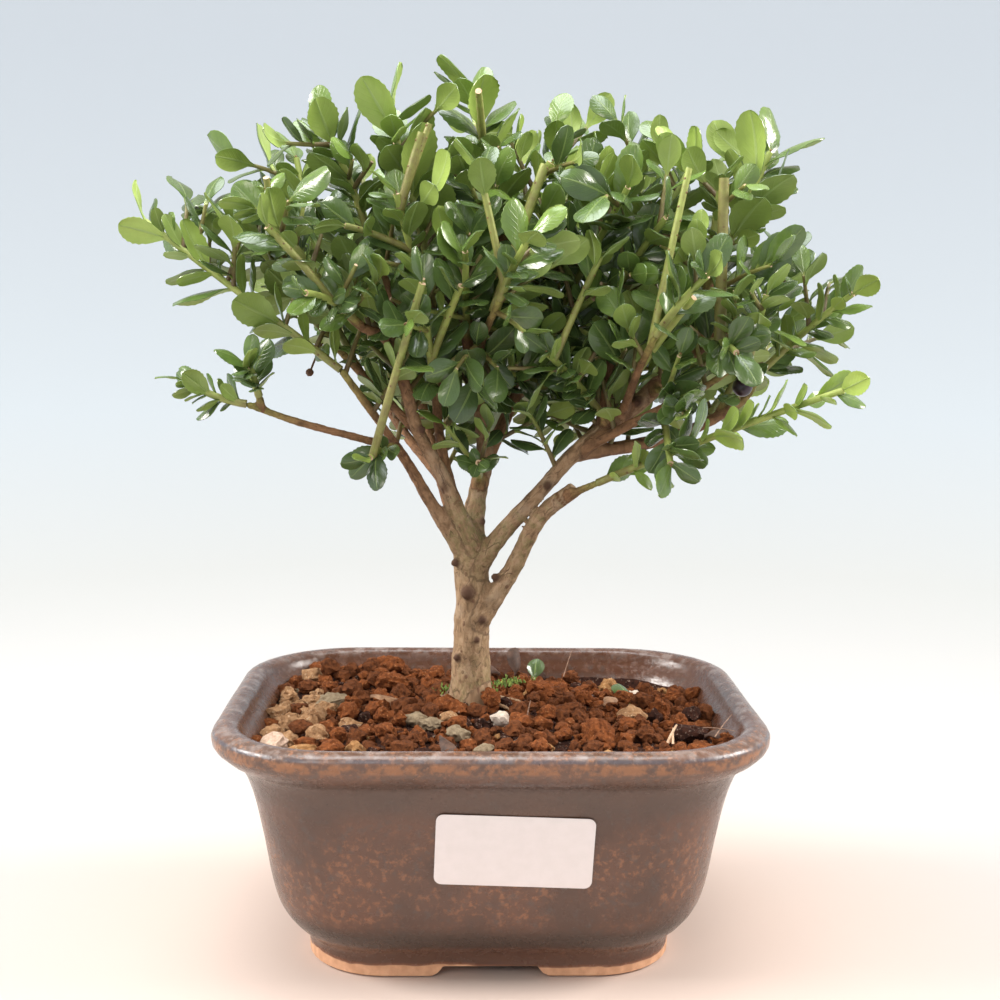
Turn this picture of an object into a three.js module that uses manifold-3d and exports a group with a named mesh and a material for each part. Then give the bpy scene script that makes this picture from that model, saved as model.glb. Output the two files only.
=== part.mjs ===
// A small Japanese holly bonsai in its glazed, footed pot.
// Millimetres, +Z up. The origin is the middle of the pot's base, on the surface that it stands
// on, with the front of the pot towards -Y.

import * as THREE from "three";
import { mergeVertices } from "three/addons/utils/BufferGeometryUtils.js";
import Module from "manifold-3d";

const wasm = await Module();
wasm.setup();

// Driving dimensions

const GAP = 0.3;

const RIM_WIDTH = 150;
const RIM_DEPTH = 123;
const RIM_CORNER = 33;
const FOOT_WIDTH = 101;
const FOOT_DEPTH = 76;
const FOOT_CORNER = 22;
const CORNER_STEPS = 4;

// The pot's outer side from the foot to the crest of its rolled lip: height, half width.
const OUTER_SIDE = [
  [0, 50.5], [6, 51], [10.8, 55], [15.7, 58], [23, 60.2], [38, 62.7], [50, 65.2],
  [57, 68], [60, 71.5], [63, 74.3], [65.5, 75], [67.6, 74.2], [68.7, 71.8],
];
// Its inner side, from the crest down to the floor.
const INNER_SIDE = [[67.9, 69], [65, 67.2], [58, 63], [30, 56.5], [14, 52], [9, 47]];
const FLOOR_TOP = 9;

const FOOT_RING = 8;
const FOOT_RECESS = 4;
const NOTCH_TOP = 26;
const NOTCH_BOTTOM = 30;
const NOTCH_HEIGHT = 3.3;
const DRAIN_X = 22;
const DRAIN_RADIUS = 6;

const SCREEN_SIDE = 22;
const SCREEN_THICK = 0.8;
const SCREEN_HOLE = 4;
const SCREEN_PITCH = 7;

const SOIL_MIDDLE = 65.2;
const SOIL_EDGE = 61.8;
const SOIL_HALF_WIDTH = 63;
const SOIL_HALF_DEPTH = 50;
const SOIL_CEILING = 80;
const GRAIN_PITCH = 7;
const GRAIN_ROWS = 10;
const GRAIN_COLUMNS = 16;
const GRAIN_RISE = 2;
const GRAIN_DIP = 1.4;
const GRAIN_STRAY = 2.6;
const PEBBLES = 7;
const PEBBLE_LEAST = 2.6;
const PEBBLE_SPREAD = 1.5;
const PEBBLE_FIELD = { width: 108, depth: 82, clearOfTrunk: 14 };

const TRUNK_X = -5.5;
const PEG_RADIUS = 6.5;
const PEG_BOTTOM = 44.3;

const TRUNK_SIDES = 10;
const SPUR_SIDES = 3;
const SPUR_RADIUS = 1.1;
const SPUR_LENGTH = 4;
const STALK_RADIUS = 0.4;

const STEM_SIDES = 3;
const STEM_STEPS = 3;
const STEM_RADIUS = 0.85;
const TIP_RADIUS = 0.6;
const BLADE_THICK = 1.1;
const KEEL_HALF = 0.3;
const TWIG_RADIUS = 0.65;
const TWIG_FOOT = { first: 0.15, spread: 0.5 };
const TWIG_DOTS = [0.3, 0.5, 0.75, 1];
const TWIG_BARE = 0.3;
const TWIG_LENGTH = 13;
const TWIG_STRAY = 6;
const TWIG_LEAVES = 4;
const TWIG_LEAF = 10.5;
const TWIG_LEAN = 0.85;
const TWIG_ROOM = 1.3;
const HEART = { x: 14, y: -1, z: 160, reach: 42 };
const GOLDEN_TURN = 2.39996;
const LIGHT = 0.15;
const TRIES = 10;
const DOT_ROOM = 0.105;
const FIRST_LEAF = 1.2;
const LAST_LEAF = 0.985;
const CROWN = { x: 106.5, y: 63, z: 246.5 };

const LABEL = { width: 41, height: 20, corner: 2, thick: 0.4, x: 5.7, z: 40, turn: -0.035 };

const UP = new THREE.Vector3(0, 0, 1);

// Limbs of the tree, each a list of points along it: x, y, z and radius there.
const LIMBS = {
  trunk: [
    [TRUNK_X, 0, PEG_BOTTOM, PEG_RADIUS], [TRUNK_X, 0, 64, PEG_RADIUS], [-5.6, 0, 69, 6.2],
    [-5.6, 0, 77, 5.5], [-5.6, 0, 84, 5.2], [-5.2, 0, 96, 5], [-5.8, 0, 106, 4.9],
    [-6.6, 0, 113, 4.6], [-6.8, 0.5, 117, 3.6],
  ],
  leftLow: [
    [-7, -1, 109, 2.8], [-16, -6, 123, 1.8], [-24, -10, 137, 1.4], [-30, -12, 146, 1.2],
    [-41, -18, 162, 1],
  ],
  leftLevel: [[-26, -11, 140, 1.2], [-34, -16, 143, 1.1], [-52, -20, 148, 1], [-66, -22, 153, 0.9]],
  left: [
    [-6, -2, 112, 3], [-13.6, -8, 132, 1.9], [-20.5, -12, 145, 1.8], [-24, -12, 157, 1.7],
    [-29, -14, 170, 1.5], [-36, -18, 174, 1.2], [-43, -24, 181, 1],
  ],
  leftInner: [[-28, -14, 168, 1.2], [-28, -8, 181, 1.1], [-34, -5, 197, 0.9]],
  leftBare: [
    [-19, -11, 143, 1.4], [-26, -8, 150, 1.3], [-34, -4, 158, 1.2], [-41, -2, 165, 1.1],
    [-49, 0, 174, 0.9],
  ],
  leftBack: [
    [-8, 3, 111, 2.6], [-15, 14, 132, 1.9], [-20, 22, 149, 1.6], [-24, 28, 167, 1.3],
    [-24, 32, 185, 1.1],
  ],
  farLeft: [[-13, 11, 128, 1.6], [-29, 29, 146, 1.4], [-41, 43, 167, 1.1]],
  upright: [[-11, -6, 126, 1.6], [-15, -6, 145, 1.4], [-16, -9, 165, 1.3], [-17, -12, 187, 1]],
  middle: [
    [-6, 1, 112, 3.6], [-4.2, 3, 126, 2.6], [-2, 4, 137, 2.4], [-4, 0, 153, 1.7],
    [-7, -4, 168, 1.6], [-7, -6, 179, 1.5], [-1, -6, 192, 1.4], [2, -6, 198, 1.4],
  ],
  middleFront: [[-5, -2, 160, 1.3], [-3, -18, 171, 1.1], [1, -32, 181, 0.9]],
  middleRight: [[-3, 4, 133, 1.9], [7, 12, 154, 1.7], [13, 14, 168, 1.5], [19, 14, 177, 1.2]],
  middleBack: [[-4, 5, 129, 2], [3, 30, 152, 1.7], [3, 42, 173, 1.4], [0, 50, 192, 1.1]],
  farRight: [[1, 22, 145, 1.7], [14, 40, 160, 1.4], [24, 54, 172, 1.1]],
  right: [
    [-5, 0, 104, 3.2], [1, -2, 113.3, 2.6], [13.3, -4, 127.7, 2], [24, -6, 140, 2.2],
    [41, -8, 154, 2.4], [50, -8, 163, 2.3], [58, -10, 170, 1.9], [66, -12, 173, 1],
  ],
  rightUp: [[57, -10, 168, 1.7], [58, -12, 182, 1.5], [59, -12, 192, 1.4]],
  rightThin: [[25, -6, 140, 1.5], [43, -16, 151, 1.2], [56, -20, 158, 1], [68, -24, 167, 0.9]],
  rightLevel: [
    [24, -5, 139, 2.1], [44, 6, 141, 1.9], [58, 8, 145, 1.7], [72, 8, 153, 1.3], [77, 8, 161, 1.1],
  ],
  rightInner: [[30, -6, 146, 1.6], [33, -4, 165, 1.3], [33, -2, 182, 1.1]],
  rightBack: [[27, -5, 142, 2], [39, 25, 156, 1.7], [46, 40, 174, 1.3]],
  rightFront: [[36, -8, 150, 1.4], [38, -24, 162, 1.1], [41, -36, 172, 0.9]],
  lowRight: [
    [-3, -1, 91, 3], [5.8, -3, 105.3, 2.4], [13.5, -7, 121, 2.3], [23, -10, 129.5, 2.2],
  ],
};

// Leafy shoots. Each leaves a limb at a share of that limb's length and ends at its tip, with a
// number of leaves, the length of its largest leaf, and how far its middle bows upwards.
const SHOOTS = [
  ["leftLow", 1, [-96, -3, 202], 9, 16, 0],
  ["leftLevel", 1, [-82, -23, 159], 5, 9.5, -1],
  ["leftLevel", 0.9, [-64, -29, 163], 5, 11, 1],
  ["leftLow", 0.6, [-33, -24, 139], 3, 11, 1],
  ["left", 1, [-61, -34, 203], 7, 14, 2],
  ["left", 0.82, [-48, -40, 182], 5, 12, 2],
  ["leftInner", 1, [-45, -12, 225], 8, 15, 2],
  ["upright", 0.5, [-19, -33, 186], 6, 14, -3],
  ["upright", 0.85, [-26, -26, 208], 6, 13, -2],
  ["upright", 1, [-28, -11, 229], 8, 19, 1],
  ["middle", 0.6, [-8, -34, 193], 6, 14, -2],
  ["middle", 1, [-6, -9, 236], 9, 16, 0],
  ["middle", 0.93, [15, -12, 218], 3, 10, 0],
  ["middleFront", 1, [8, -46, 196], 6, 14, 1],
  ["middleRight", 0.75, [16, 0, 206], 6, 13, 0],
  ["middleRight", 0.9, [35, -20, 211], 7, 17, 0],
  ["middleRight", 1, [17, 8, 230], 7, 14, 0],
  ["rightInner", 1, [45, -22, 203], 6, 14, 1],
  ["rightInner", 0.84, [54, -4, 218], 6, 14, 1],
  ["rightInner", 0.62, [44, 15, 223], 7, 14, 2],
  ["rightFront", 1, [52, -48, 187], 6, 14, 1],
  ["rightUp", 1, [61, -15, 214], 3, 10, 0],
  ["rightUp", 0.6, [75, -8, 222], 7, 19, 0],
  ["rightThin", 1, [71, -28, 183], 5, 13, 0],
  ["rightLevel", 1, [99, -9, 184], 8, 13, 1],
  ["rightLevel", 0.62, [89, 22, 192], 6, 13, 1],
  ["lowRight", 0.88, [87, -48, 159], 10, 13, 1],
  ["middle", 0.18, [-4, -14, 137], 3, 8, 1],
  ["middleRight", 0.35, [24, 0, 158], 5, 11, 1],
  ["right", 0.62, [50, -30, 152], 4, 13, 1],
  ["right", 0.84, [62, -36, 168], 5, 13, 2],
  ["rightThin", 0.4, [46, -34, 139], 4, 13, 0],
  ["middleRight", 0.6, [27, -12, 182], 6, 13, 1],
  ["leftBack", 1, [-31, 36, 214], 7, 14, 0],
  ["leftBack", 0.72, [-50, 40, 194], 6, 14, 2],
  ["farLeft", 1, [-68, 50, 200], 7, 14, 1],
  ["farLeft", 0.7, [-44, 60, 192], 6, 13, 2],
  ["farLeft", 0.45, [-24, 58, 160], 6, 13, 1],
  ["middleBack", 1, [-5, 56, 216], 7, 14, 0],
  ["middleBack", 0.8, [-22, 60, 197], 6, 13, 1],
  ["middleBack", 0.66, [22, 36, 204], 6, 14, 2],
  ["farRight", 1, [36, 60, 196], 6, 14, 0],
  ["farRight", 0.5, [2, 62, 168], 5, 13, 1],
  ["rightBack", 1, [64, 50, 196], 7, 14, 1],
  ["rightBack", 0.8, [56, 58, 168], 6, 13, 1],
  ["rightBack", 0.9, [40, 34, 209], 6, 14, 1],
  ["rightLevel", 0.55, [78, 38, 160], 6, 13, 1],
  ["leftBare", 1, [-72, 0, 203], 7, 14, 1],
  ["leftBare", 0.6, [-60, 22, 194], 6, 13, 2],
  ["leftBare", 0.85, [-56, 10, 221], 7, 14, 0],
  ["middle", 0.42, [13, -6, 172], 8, 11, 0],
  ["right", 0.5, [14, -26, 167], 8, 11, 1],
];

// Fruit: where its stalk leaves a limb, the middle of the fruit, and its radius.
const FRUIT = {
  berry: { limb: "rightThin", share: 0.93, middle: [67, -20, 158.6], radius: 2.7 },
  dried_berry: { limb: "leftBare", share: 0.93, middle: [-51, -5, 161], radius: 1.1 },
};

// Materials

function finish(color, roughness, metalness = 0) {
  return new THREE.MeshStandardMaterial({ color, roughness, metalness });
}

const GLAZE = finish(0x4a342b, 0.4);
const BARK = finish(0x9a8464, 0.85);
const SOIL = finish(0x8a4b2a, 0.95);
const FOLIAGE = finish(0x4c7a2c, 0.45);
const PAPER = finish(0xf2f0ec, 0.6);
const SCREEN = finish(0x22262a, 0.6);
const RIPE = finish(0x241626, 0.35);
const DRIED = finish(0x4a3226, 0.9);

const bonsai = new THREE.Group();

function place(name, geometry, material) {
  const mesh = new THREE.Mesh(geometry, material);
  mesh.name = name;
  bonsai.add(mesh);
  return mesh;
}

// Solids and small geometry helpers

function randomFrom(seed) {
  let state = (seed * 7919 + 12345) % 4294967296;
  return () => {
    state = (state * 1664525 + 1013904223) % 4294967296;
    return state / 4294967296;
  };
}

function solid(geometry) {
  const bare = geometry.clone();
  bare.deleteAttribute("normal");
  bare.deleteAttribute("uv");
  const merged = mergeVertices(bare, 1e-4);
  return new wasm.Manifold(new wasm.Mesh({
    numProp: 3,
    vertProperties: merged.attributes.position.array,
    triVerts: new Uint32Array(merged.index.array),
  }));
}

function geometryOf(body) {
  const mesh = body.getMesh();
  const geometry = new THREE.BufferGeometry();
  geometry.setAttribute("position", new THREE.BufferAttribute(mesh.vertProperties, 3));
  geometry.setIndex(new THREE.BufferAttribute(mesh.triVerts, 1));
  return geometry;
}

function fused(bodies) {
  return bodies.reduce((whole, body) => whole.add(body));
}

function meshFrom(points, triangles) {
  const geometry = new THREE.BufferGeometry();
  const numbers = points.flatMap((point) => [point.x, point.y, point.z]);
  geometry.setAttribute("position", new THREE.Float32BufferAttribute(numbers, 3));
  geometry.setIndex(triangles);
  return geometry;
}

// A closed skin over rings of equally many points, each ring running anticlockwise as seen from
// the far end, with a flat fan over the first ring and the last.
function loft(rings) {
  const count = rings[0].length;
  const triangles = [];
  for (let level = 0; level + 1 < rings.length; level += 1) {
    for (let i = 0; i < count; i += 1) {
      const a = level * count + i;
      const b = level * count + ((i + 1) % count);
      triangles.push(a, b, b + count, a, b + count, a + count);
    }
  }
  const last = (rings.length - 1) * count;
  for (let i = 1; i + 1 < count; i += 1) {
    triangles.push(0, i + 1, i, last, last + i, last + i + 1);
  }
  return meshFrom(rings.flat(), triangles);
}

function roundedRing(z, halfWidth, halfDepth, corner) {
  const ring = [];
  const middles = [[1, 1], [-1, 1], [-1, -1], [1, -1]];
  middles.forEach(([signX, signY], quarter) => {
    for (let step = 0; step <= CORNER_STEPS; step += 1) {
      const angle = (quarter + step / CORNER_STEPS) * Math.PI / 2;
      ring.push(new THREE.Vector3(
        signX * (halfWidth - corner) + corner * Math.cos(angle),
        signY * (halfDepth - corner) + corner * Math.sin(angle),
        z,
      ));
    }
  });
  return ring;
}

// The pot's plan at a given half width: its depth and corner follow from foot to rim.
function potRing(z, halfWidth, inset = 0) {
  const share = (halfWidth - FOOT_WIDTH / 2) / (RIM_WIDTH / 2 - FOOT_WIDTH / 2);
  const halfDepth = FOOT_DEPTH / 2 + share * (RIM_DEPTH - FOOT_DEPTH) / 2;
  const corner = FOOT_CORNER + share * (RIM_CORNER - FOOT_CORNER);
  return roundedRing(z, halfWidth - inset, halfDepth - inset, corner - inset);
}

// Curves

// A smooth path through points of x, y, z and radius, read at a share of its length.
function along(path, share) {
  const spans = path.length - 1;
  const reached = Math.min(Math.max(share, 0), 1) * spans;
  const span = Math.min(Math.floor(reached), spans - 1);
  const t = reached - span;
  const b = path[span];
  const c = path[span + 1];
  const a = path[span - 1] ?? b.map((value, i) => 2 * value - c[i]);
  const d = path[span + 2] ?? c.map((value, i) => 2 * value - b[i]);
  const [x, y, z] = [0, 1, 2].map((i) => 0.5 * (
    2 * b[i] + (c[i] - a[i]) * t + (2 * a[i] - 5 * b[i] + 4 * c[i] - d[i]) * t * t
    + (3 * b[i] - a[i] - 3 * c[i] + d[i]) * t * t * t
  ));
  return { point: new THREE.Vector3(x, y, z), radius: b[3] + (c[3] - b[3]) * t };
}

// A tapering tube through stations of point and radius, its rings turned as little as can be.
function tube(stations, sides) {
  const last = stations.length - 1;
  const ahead = stations.map((station, i) => stations[Math.min(i + 1, last)].point.clone()
    .sub(stations[Math.max(i - 1, 0)].point).normalize());
  const side = new THREE.Vector3(0, 1, 0);
  if (Math.abs(ahead[0].y) > 0.9) side.set(1, 0, 0);
  const rings = stations.map(({ point, radius }, i) => {
    side.addScaledVector(ahead[i], -side.dot(ahead[i])).normalize();
    const other = ahead[i].clone().cross(side);
    return Array.from({ length: sides }, (_, k) => {
      const angle = k / sides * 2 * Math.PI;
      return point.clone().addScaledVector(side, radius * Math.cos(angle))
        .addScaledVector(other, radius * Math.sin(angle));
    });
  });
  return loft(rings);
}

function limbStations(path) {
  const steps = Math.max(path.length - 1, 4);
  return Array.from({ length: steps + 1 }, (_, i) => along(path, i / steps));
}

// The stem of a shoot: one bowed curve from inside its limb to its tip.
function stemOf([limb, share, tip, , , bow]) {
  const start = along(LIMBS[limb], share).point;
  const end = new THREE.Vector3(...tip);
  const middle = start.clone().add(end).multiplyScalar(0.5).addScaledVector(UP, 2 * bow);
  return new THREE.QuadraticBezierCurve3(start, middle, end);
}

// Pot: one fired piece with a rolled lip, a recessed foot with a notch front and back, and two
// drain holes.

function buildPot() {
  const rings = [...OUTER_SIDE, ...INNER_SIDE].map(([z, half]) => potRing(z, half));
  const recess = loft([-1, FOOT_RECESS].map((z) => roundedRing(
    z,
    FOOT_WIDTH / 2 - FOOT_RING,
    FOOT_DEPTH / 2 - FOOT_RING,
    FOOT_CORNER - FOOT_RING,
  )));
  const arch = new THREE.Shape();
  arch.moveTo(-NOTCH_BOTTOM / 2, -1);
  arch.lineTo(NOTCH_BOTTOM / 2, -1);
  arch.lineTo(NOTCH_BOTTOM / 2, 0);
  arch.quadraticCurveTo(NOTCH_TOP / 2, 0.3, NOTCH_TOP / 2, NOTCH_HEIGHT);
  arch.lineTo(-NOTCH_TOP / 2, NOTCH_HEIGHT);
  arch.quadraticCurveTo(-NOTCH_TOP / 2, 0.3, -NOTCH_BOTTOM / 2, 0);
  const notch = new THREE.ExtrudeGeometry(arch, {
    depth: FOOT_DEPTH + 2,
    bevelEnabled: false,
    curveSegments: 3,
  });
  notch.rotateX(Math.PI / 2).translate(0, FOOT_DEPTH / 2 + 1, 0);
  let body = solid(loft(rings)).subtract(solid(recess)).subtract(solid(notch));
  for (const side of [-1, 1]) {
    const hole = new THREE.CylinderGeometry(DRAIN_RADIUS, DRAIN_RADIUS, 2 * FLOOR_TOP, 12);
    hole.rotateX(Math.PI / 2).translate(side * DRAIN_X, 0, FLOOR_TOP / 2);
    body = body.subtract(solid(hole));
  }
  place("pot", geometryOf(body), GLAZE);
}

// Drain screens: two squares of coarse plastic mesh over the holes.

function buildScreens() {
  for (const [name, side] of [["drain_screen_left", -1], ["drain_screen_right", 1]]) {
    let sheet = solid(new THREE.BoxGeometry(SCREEN_SIDE, SCREEN_SIDE, SCREEN_THICK));
    for (const column of [-0.5, 0.5]) {
      for (const row of [-0.5, 0.5]) {
        const hole = new THREE.BoxGeometry(SCREEN_HOLE, SCREEN_HOLE, 2 * SCREEN_THICK);
        hole.translate(column * SCREEN_PITCH, row * SCREEN_PITCH, 0);
        sheet = sheet.subtract(solid(hole));
      }
    }
    const z = FLOOR_TOP + GAP + SCREEN_THICK / 2;
    place(name, geometryOf(sheet), SCREEN).position.set(side * DRAIN_X, 0, z);
  }
}

// Soil: it fills the pot and is mounded round the trunk. Its surface is a net of granules, one
// raised point in every six-sided cell, with larger pebbles bedded in it.

function soilHeight(x, y) {
  const out = Math.max(Math.abs(x) / SOIL_HALF_WIDTH, Math.abs(y) / SOIL_HALF_DEPTH);
  return SOIL_MIDDLE + (SOIL_EDGE - SOIL_MIDDLE) * Math.min(out, 1) ** 2;
}

function buildGrains() {
  const random = randomFrom(3);
  const [rows, columns] = [GRAIN_ROWS, GRAIN_COLUMNS];
  const points = [];
  const index = (i, j, level) => ((j + rows) * (2 * columns + 1) + i + columns) * 2 + level;
  for (let j = -rows; j <= rows; j += 1) {
    for (let i = -columns; i <= columns; i += 1) {
      const raised = (((i - j) % 3) + 3) % 3 === 0;
      const x = GRAIN_PITCH * (i + j / 2) + (random() - 0.5) * GRAIN_STRAY;
      const y = GRAIN_PITCH * j * Math.sqrt(3) / 2 + (random() - 0.5) * GRAIN_STRAY;
      const rise = raised ? GRAIN_RISE * (0.4 + random()) : -GRAIN_DIP * random();
      points.push(new THREE.Vector3(x, y, soilHeight(x, y) + rise));
      points.push(new THREE.Vector3(GRAIN_PITCH * (i + j / 2), y, 0));
    }
  }
  const triangles = [];
  for (let j = -rows; j < rows; j += 1) {
    for (let i = -columns; i < columns; i += 1) {
      for (const [a, b, c] of [[[i, j], [i + 1, j], [i, j + 1]],
        [[i + 1, j], [i + 1, j + 1], [i, j + 1]]]) {
        triangles.push(index(...a, 0), index(...b, 0), index(...c, 0));
        triangles.push(index(...a, 1), index(...c, 1), index(...b, 1));
      }
    }
  }
  const skirt = (a, b) => {
    triangles.push(index(...a, 0), index(...a, 1), index(...b, 1));
    triangles.push(index(...a, 0), index(...b, 1), index(...b, 0));
  };
  for (let i = -columns; i < columns; i += 1) {
    skirt([i, -rows], [i + 1, -rows]);
    skirt([i + 1, rows], [i, rows]);
  }
  for (let j = -rows; j < rows; j += 1) {
    skirt([columns, j], [columns, j + 1]);
    skirt([-columns, j + 1], [-columns, j]);
  }
  return solid(meshFrom(points, triangles));
}

function buildPebbles() {
  const random = randomFrom(11);
  const pebbles = [];
  while (pebbles.length < PEBBLES) {
    const x = (random() - 0.5) * PEBBLE_FIELD.width;
    const y = (random() - 0.5) * PEBBLE_FIELD.depth;
    const radius = PEBBLE_LEAST + PEBBLE_SPREAD * random();
    const turn = random() * Math.PI;
    if (Math.hypot(x - TRUNK_X, y) > PEBBLE_FIELD.clearOfTrunk) {
      const pebble = new THREE.IcosahedronGeometry(radius, 0);
      pebble.scale(1.15, 0.95, 0.75).rotateZ(turn).translate(x, y, soilHeight(x, y) + 0.9);
      pebbles.push(solid(pebble));
    }
  }
  return pebbles;
}

function buildSoil() {
  const walls = INNER_SIDE.filter(([z]) => z <= 65 && z !== 30).reverse();
  const rings = walls.map(([z, half]) => potRing(
    z === FLOOR_TOP ? z + GAP : z,
    half,
    1.2 * GAP,
  ));
  rings.push(potRing(SOIL_CEILING, INNER_SIDE[1][1], 1.2 * GAP));
  const hole = tube(
    [PEG_BOTTOM - GAP, SOIL_CEILING].map((z) => ({
      point: new THREE.Vector3(TRUNK_X, 0, z),
      radius: PEG_RADIUS + 1.5 * GAP,
    })),
    TRUNK_SIDES,
  );
  let body = fused([buildGrains(), ...buildPebbles()]).intersect(solid(loft(rings)));
  body = body.subtract(solid(hole));
  for (const side of [-1, 1]) {
    const room = SCREEN_SIDE + 2 * GAP;
    const height = 2 * (2 * GAP + SCREEN_THICK);
    const pocket = new THREE.BoxGeometry(room, room, height);
    pocket.translate(side * DRAIN_X, 0, FLOOR_TOP);
    body = body.subtract(solid(pocket));
  }
  place("soil", geometryOf(body), SOIL);
}

// Wood: trunk, limbs and the woody foot of every shoot, grown as one piece.

function sidesFor(radius) {
  if (radius > 5.5) return TRUNK_SIDES;
  if (radius > 2.5) return 7;
  return radius > 1.5 ? 5 : 4;
}

// How much of a shoot's curve a length takes up at its start.
function shareOf(length, stem) {
  return length / (2 * stem.v0.distanceTo(stem.v1));
}

// The share of a shoot's curve that is wood: a spur long enough to clear its limb at their angle.
// On from a limb's own end there is none, and the green stem starts as close as its slant lets it.
function woodShare([limb, share], stem) {
  const path = LIMBS[limb];
  const { point, radius } = along(path, share);
  const slant = stem.getTangent(0).angleTo(point.clone().sub(along(path, share - 0.01).point));
  if (share === 1) {
    const room = STEM_RADIUS * Math.tan(Math.min(slant, 1.5)) + GAP / 2;
    return shareOf(Math.min(room, radius + GAP), stem);
  }
  const spur = (radius + STEM_RADIUS + GAP) / Math.sin(slant);
  return shareOf(Math.max(spur, radius + SPUR_LENGTH), stem);
}

function buildWood() {
  const bodies = Object.values(LIMBS).map((path) => {
    const stations = limbStations(path);
    return solid(tube(stations, sidesFor(stations[0].radius)));
  });
  for (const shoot of SHOOTS.filter(([, share]) => share < 1)) {
    const stem = stemOf(shoot);
    const end = woodShare(shoot, stem);
    const stations = [0, end].map((t) => ({ point: stem.getPoint(t), radius: SPUR_RADIUS }));
    bodies.push(solid(tube(stations, SPUR_SIDES)));
  }
  place("wood", geometryOf(fused(bodies)), BARK);
}

// Leaves

// Half width of a leaf along its length, as a share of its greatest: wedge-shaped at the base,
// widest past the middle and round at the tip.
function leafOutline(s) {
  if (s > 0.6) return Math.sqrt(Math.max(0, 1 - ((s - 0.6) / 0.4) ** 2));
  return Math.sin(Math.PI / 2 * s / 0.6) ** 1.3;
}

function leafMiddle(leaf, s) {
  return leaf.base.clone().addScaledVector(leaf.axis, leaf.length * s)
    .addScaledVector(leaf.face, leaf.arch * leaf.length * s * (1 - 1.6 * s));
}

function leafPoint(leaf, s, across) {
  const half = leaf.width / 2 * leafOutline(s);
  return leafMiddle(leaf, s).addScaledVector(leaf.side, across * half)
    .addScaledVector(leaf.face, -leaf.cup * half * across * across);
}

// A blade with a ridge along the middle of its top and a plain underside. It narrows to an upright
// keel at the heart of the stem.
function buildLeaf(leaf) {
  const keel = (level) => leaf.base.clone().addScaledVector(leaf.face, level);
  const points = [
    keel(-KEEL_HALF), keel(KEEL_HALF),
    leafPoint(leaf, 0.4, 1), leafPoint(leaf, 0.82, 1),
    leafPoint(leaf, 0.4, -1), leafPoint(leaf, 0.82, -1),
    leafMiddle(leaf, 0.58).addScaledVector(leaf.face, BLADE_THICK), leafMiddle(leaf, 1),
  ];
  const [low, top, r1, r2, l1, l2, ridge, tip] = points.keys();
  return meshFrom(points, [
    top, low, r1, top, r1, ridge, ridge, r1, r2, ridge, r2, tip,
    top, l1, low, top, ridge, l1, ridge, l2, l1, ridge, tip, l2,
    low, l1, r1, r1, l1, r2, l1, l2, r2, r2, l2, tip,
  ]);
}

// Places on a blade that stand for it when leaves are kept out of each other's way.
const DOTS = [
  [0.26, 0], [0.5, 0], [0.74, 0], [0.96, 0], [0.44, 0.62], [0.44, -0.62], [0.74, 0.66],
  [0.74, -0.66],
];

function leafDots(leaf) {
  return DOTS.map(([s, across]) => leafPoint(leaf, s, across));
}

function distanceToSegment(point, a, b) {
  const span = b.clone().sub(a);
  const t = point.clone().sub(a).dot(span) / span.lengthSq();
  return point.distanceTo(a.clone().addScaledVector(span, Math.min(Math.max(t, 0), 1)));
}

// Everything that a leaf has to clear: tapering rods of wood and green stem, and other leaves.
const rods = [];
const blades = [];

function addRods(stations, owner) {
  for (let i = 0; i + 1 < stations.length; i += 1) {
    const radius = Math.max(stations[i].radius, stations[i + 1].radius);
    rods.push({ a: stations[i].point, b: stations[i + 1].point, radius, owner });
  }
}

function isClear(leaf, owner) {
  const room = DOT_ROOM * leaf.length;
  const dots = leafDots(leaf);
  const reach = leaf.length;
  const hitsRod = rods.some((rod) => rod.owner !== owner && dots.some(
    (dot) => distanceToSegment(dot, rod.a, rod.b) < rod.radius + room,
  ));
  if (hitsRod) return false;
  return !blades.some((blade) => {
    const share = blade.owner === owner ? 0.6 : 1;
    if (blade.middle.distanceTo(dots[1]) > reach + blade.reach) return false;
    return dots.some((dot) => blade.dots.some(
      (other) => dot.distanceTo(other) < share * (room + blade.room),
    ));
  });
}

function isInside(leaf) {
  const end = leafMiddle(leaf, 1);
  return Math.abs(end.x) < CROWN.x && Math.abs(end.y) < CROWN.y && end.z < CROWN.z;
}

// A direction square to a stem there, at a turn round it from the top.
function outward(ahead, turn) {
  const level = Math.abs(ahead.z) > 0.95 ? new THREE.Vector3(0, -1, 0) : UP.clone();
  level.addScaledVector(ahead, -level.dot(ahead)).normalize();
  const beside = ahead.clone().cross(level);
  return level.multiplyScalar(Math.cos(turn)).addScaledVector(beside, Math.sin(turn));
}

// One try at a leaf: turn is its bearing round the stem, spread its angle from the stem.
function leafAt(stem, t, turn, spread, length, look) {
  const ahead = stem.getTangent(t);
  const out = outward(ahead, turn);
  const axis = ahead.clone().multiplyScalar(Math.cos(spread))
    .addScaledVector(out, Math.sin(spread));
  const face = ahead.multiplyScalar(Math.sin(spread)).addScaledVector(out, -Math.cos(spread));
  face.multiplyScalar(1 - LIGHT).addScaledVector(UP, LIGHT);
  face.addScaledVector(axis, -face.dot(axis)).normalize();
  const side = axis.clone().cross(face);
  face.multiplyScalar(Math.cos(look.roll)).addScaledVector(side, Math.sin(look.roll)).normalize();
  return {
    base: stem.getPoint(t),
    axis,
    face,
    side: axis.clone().cross(face),
    length,
    width: length * look.width,
    arch: look.arch,
    cup: look.cup,
  };
}

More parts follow.
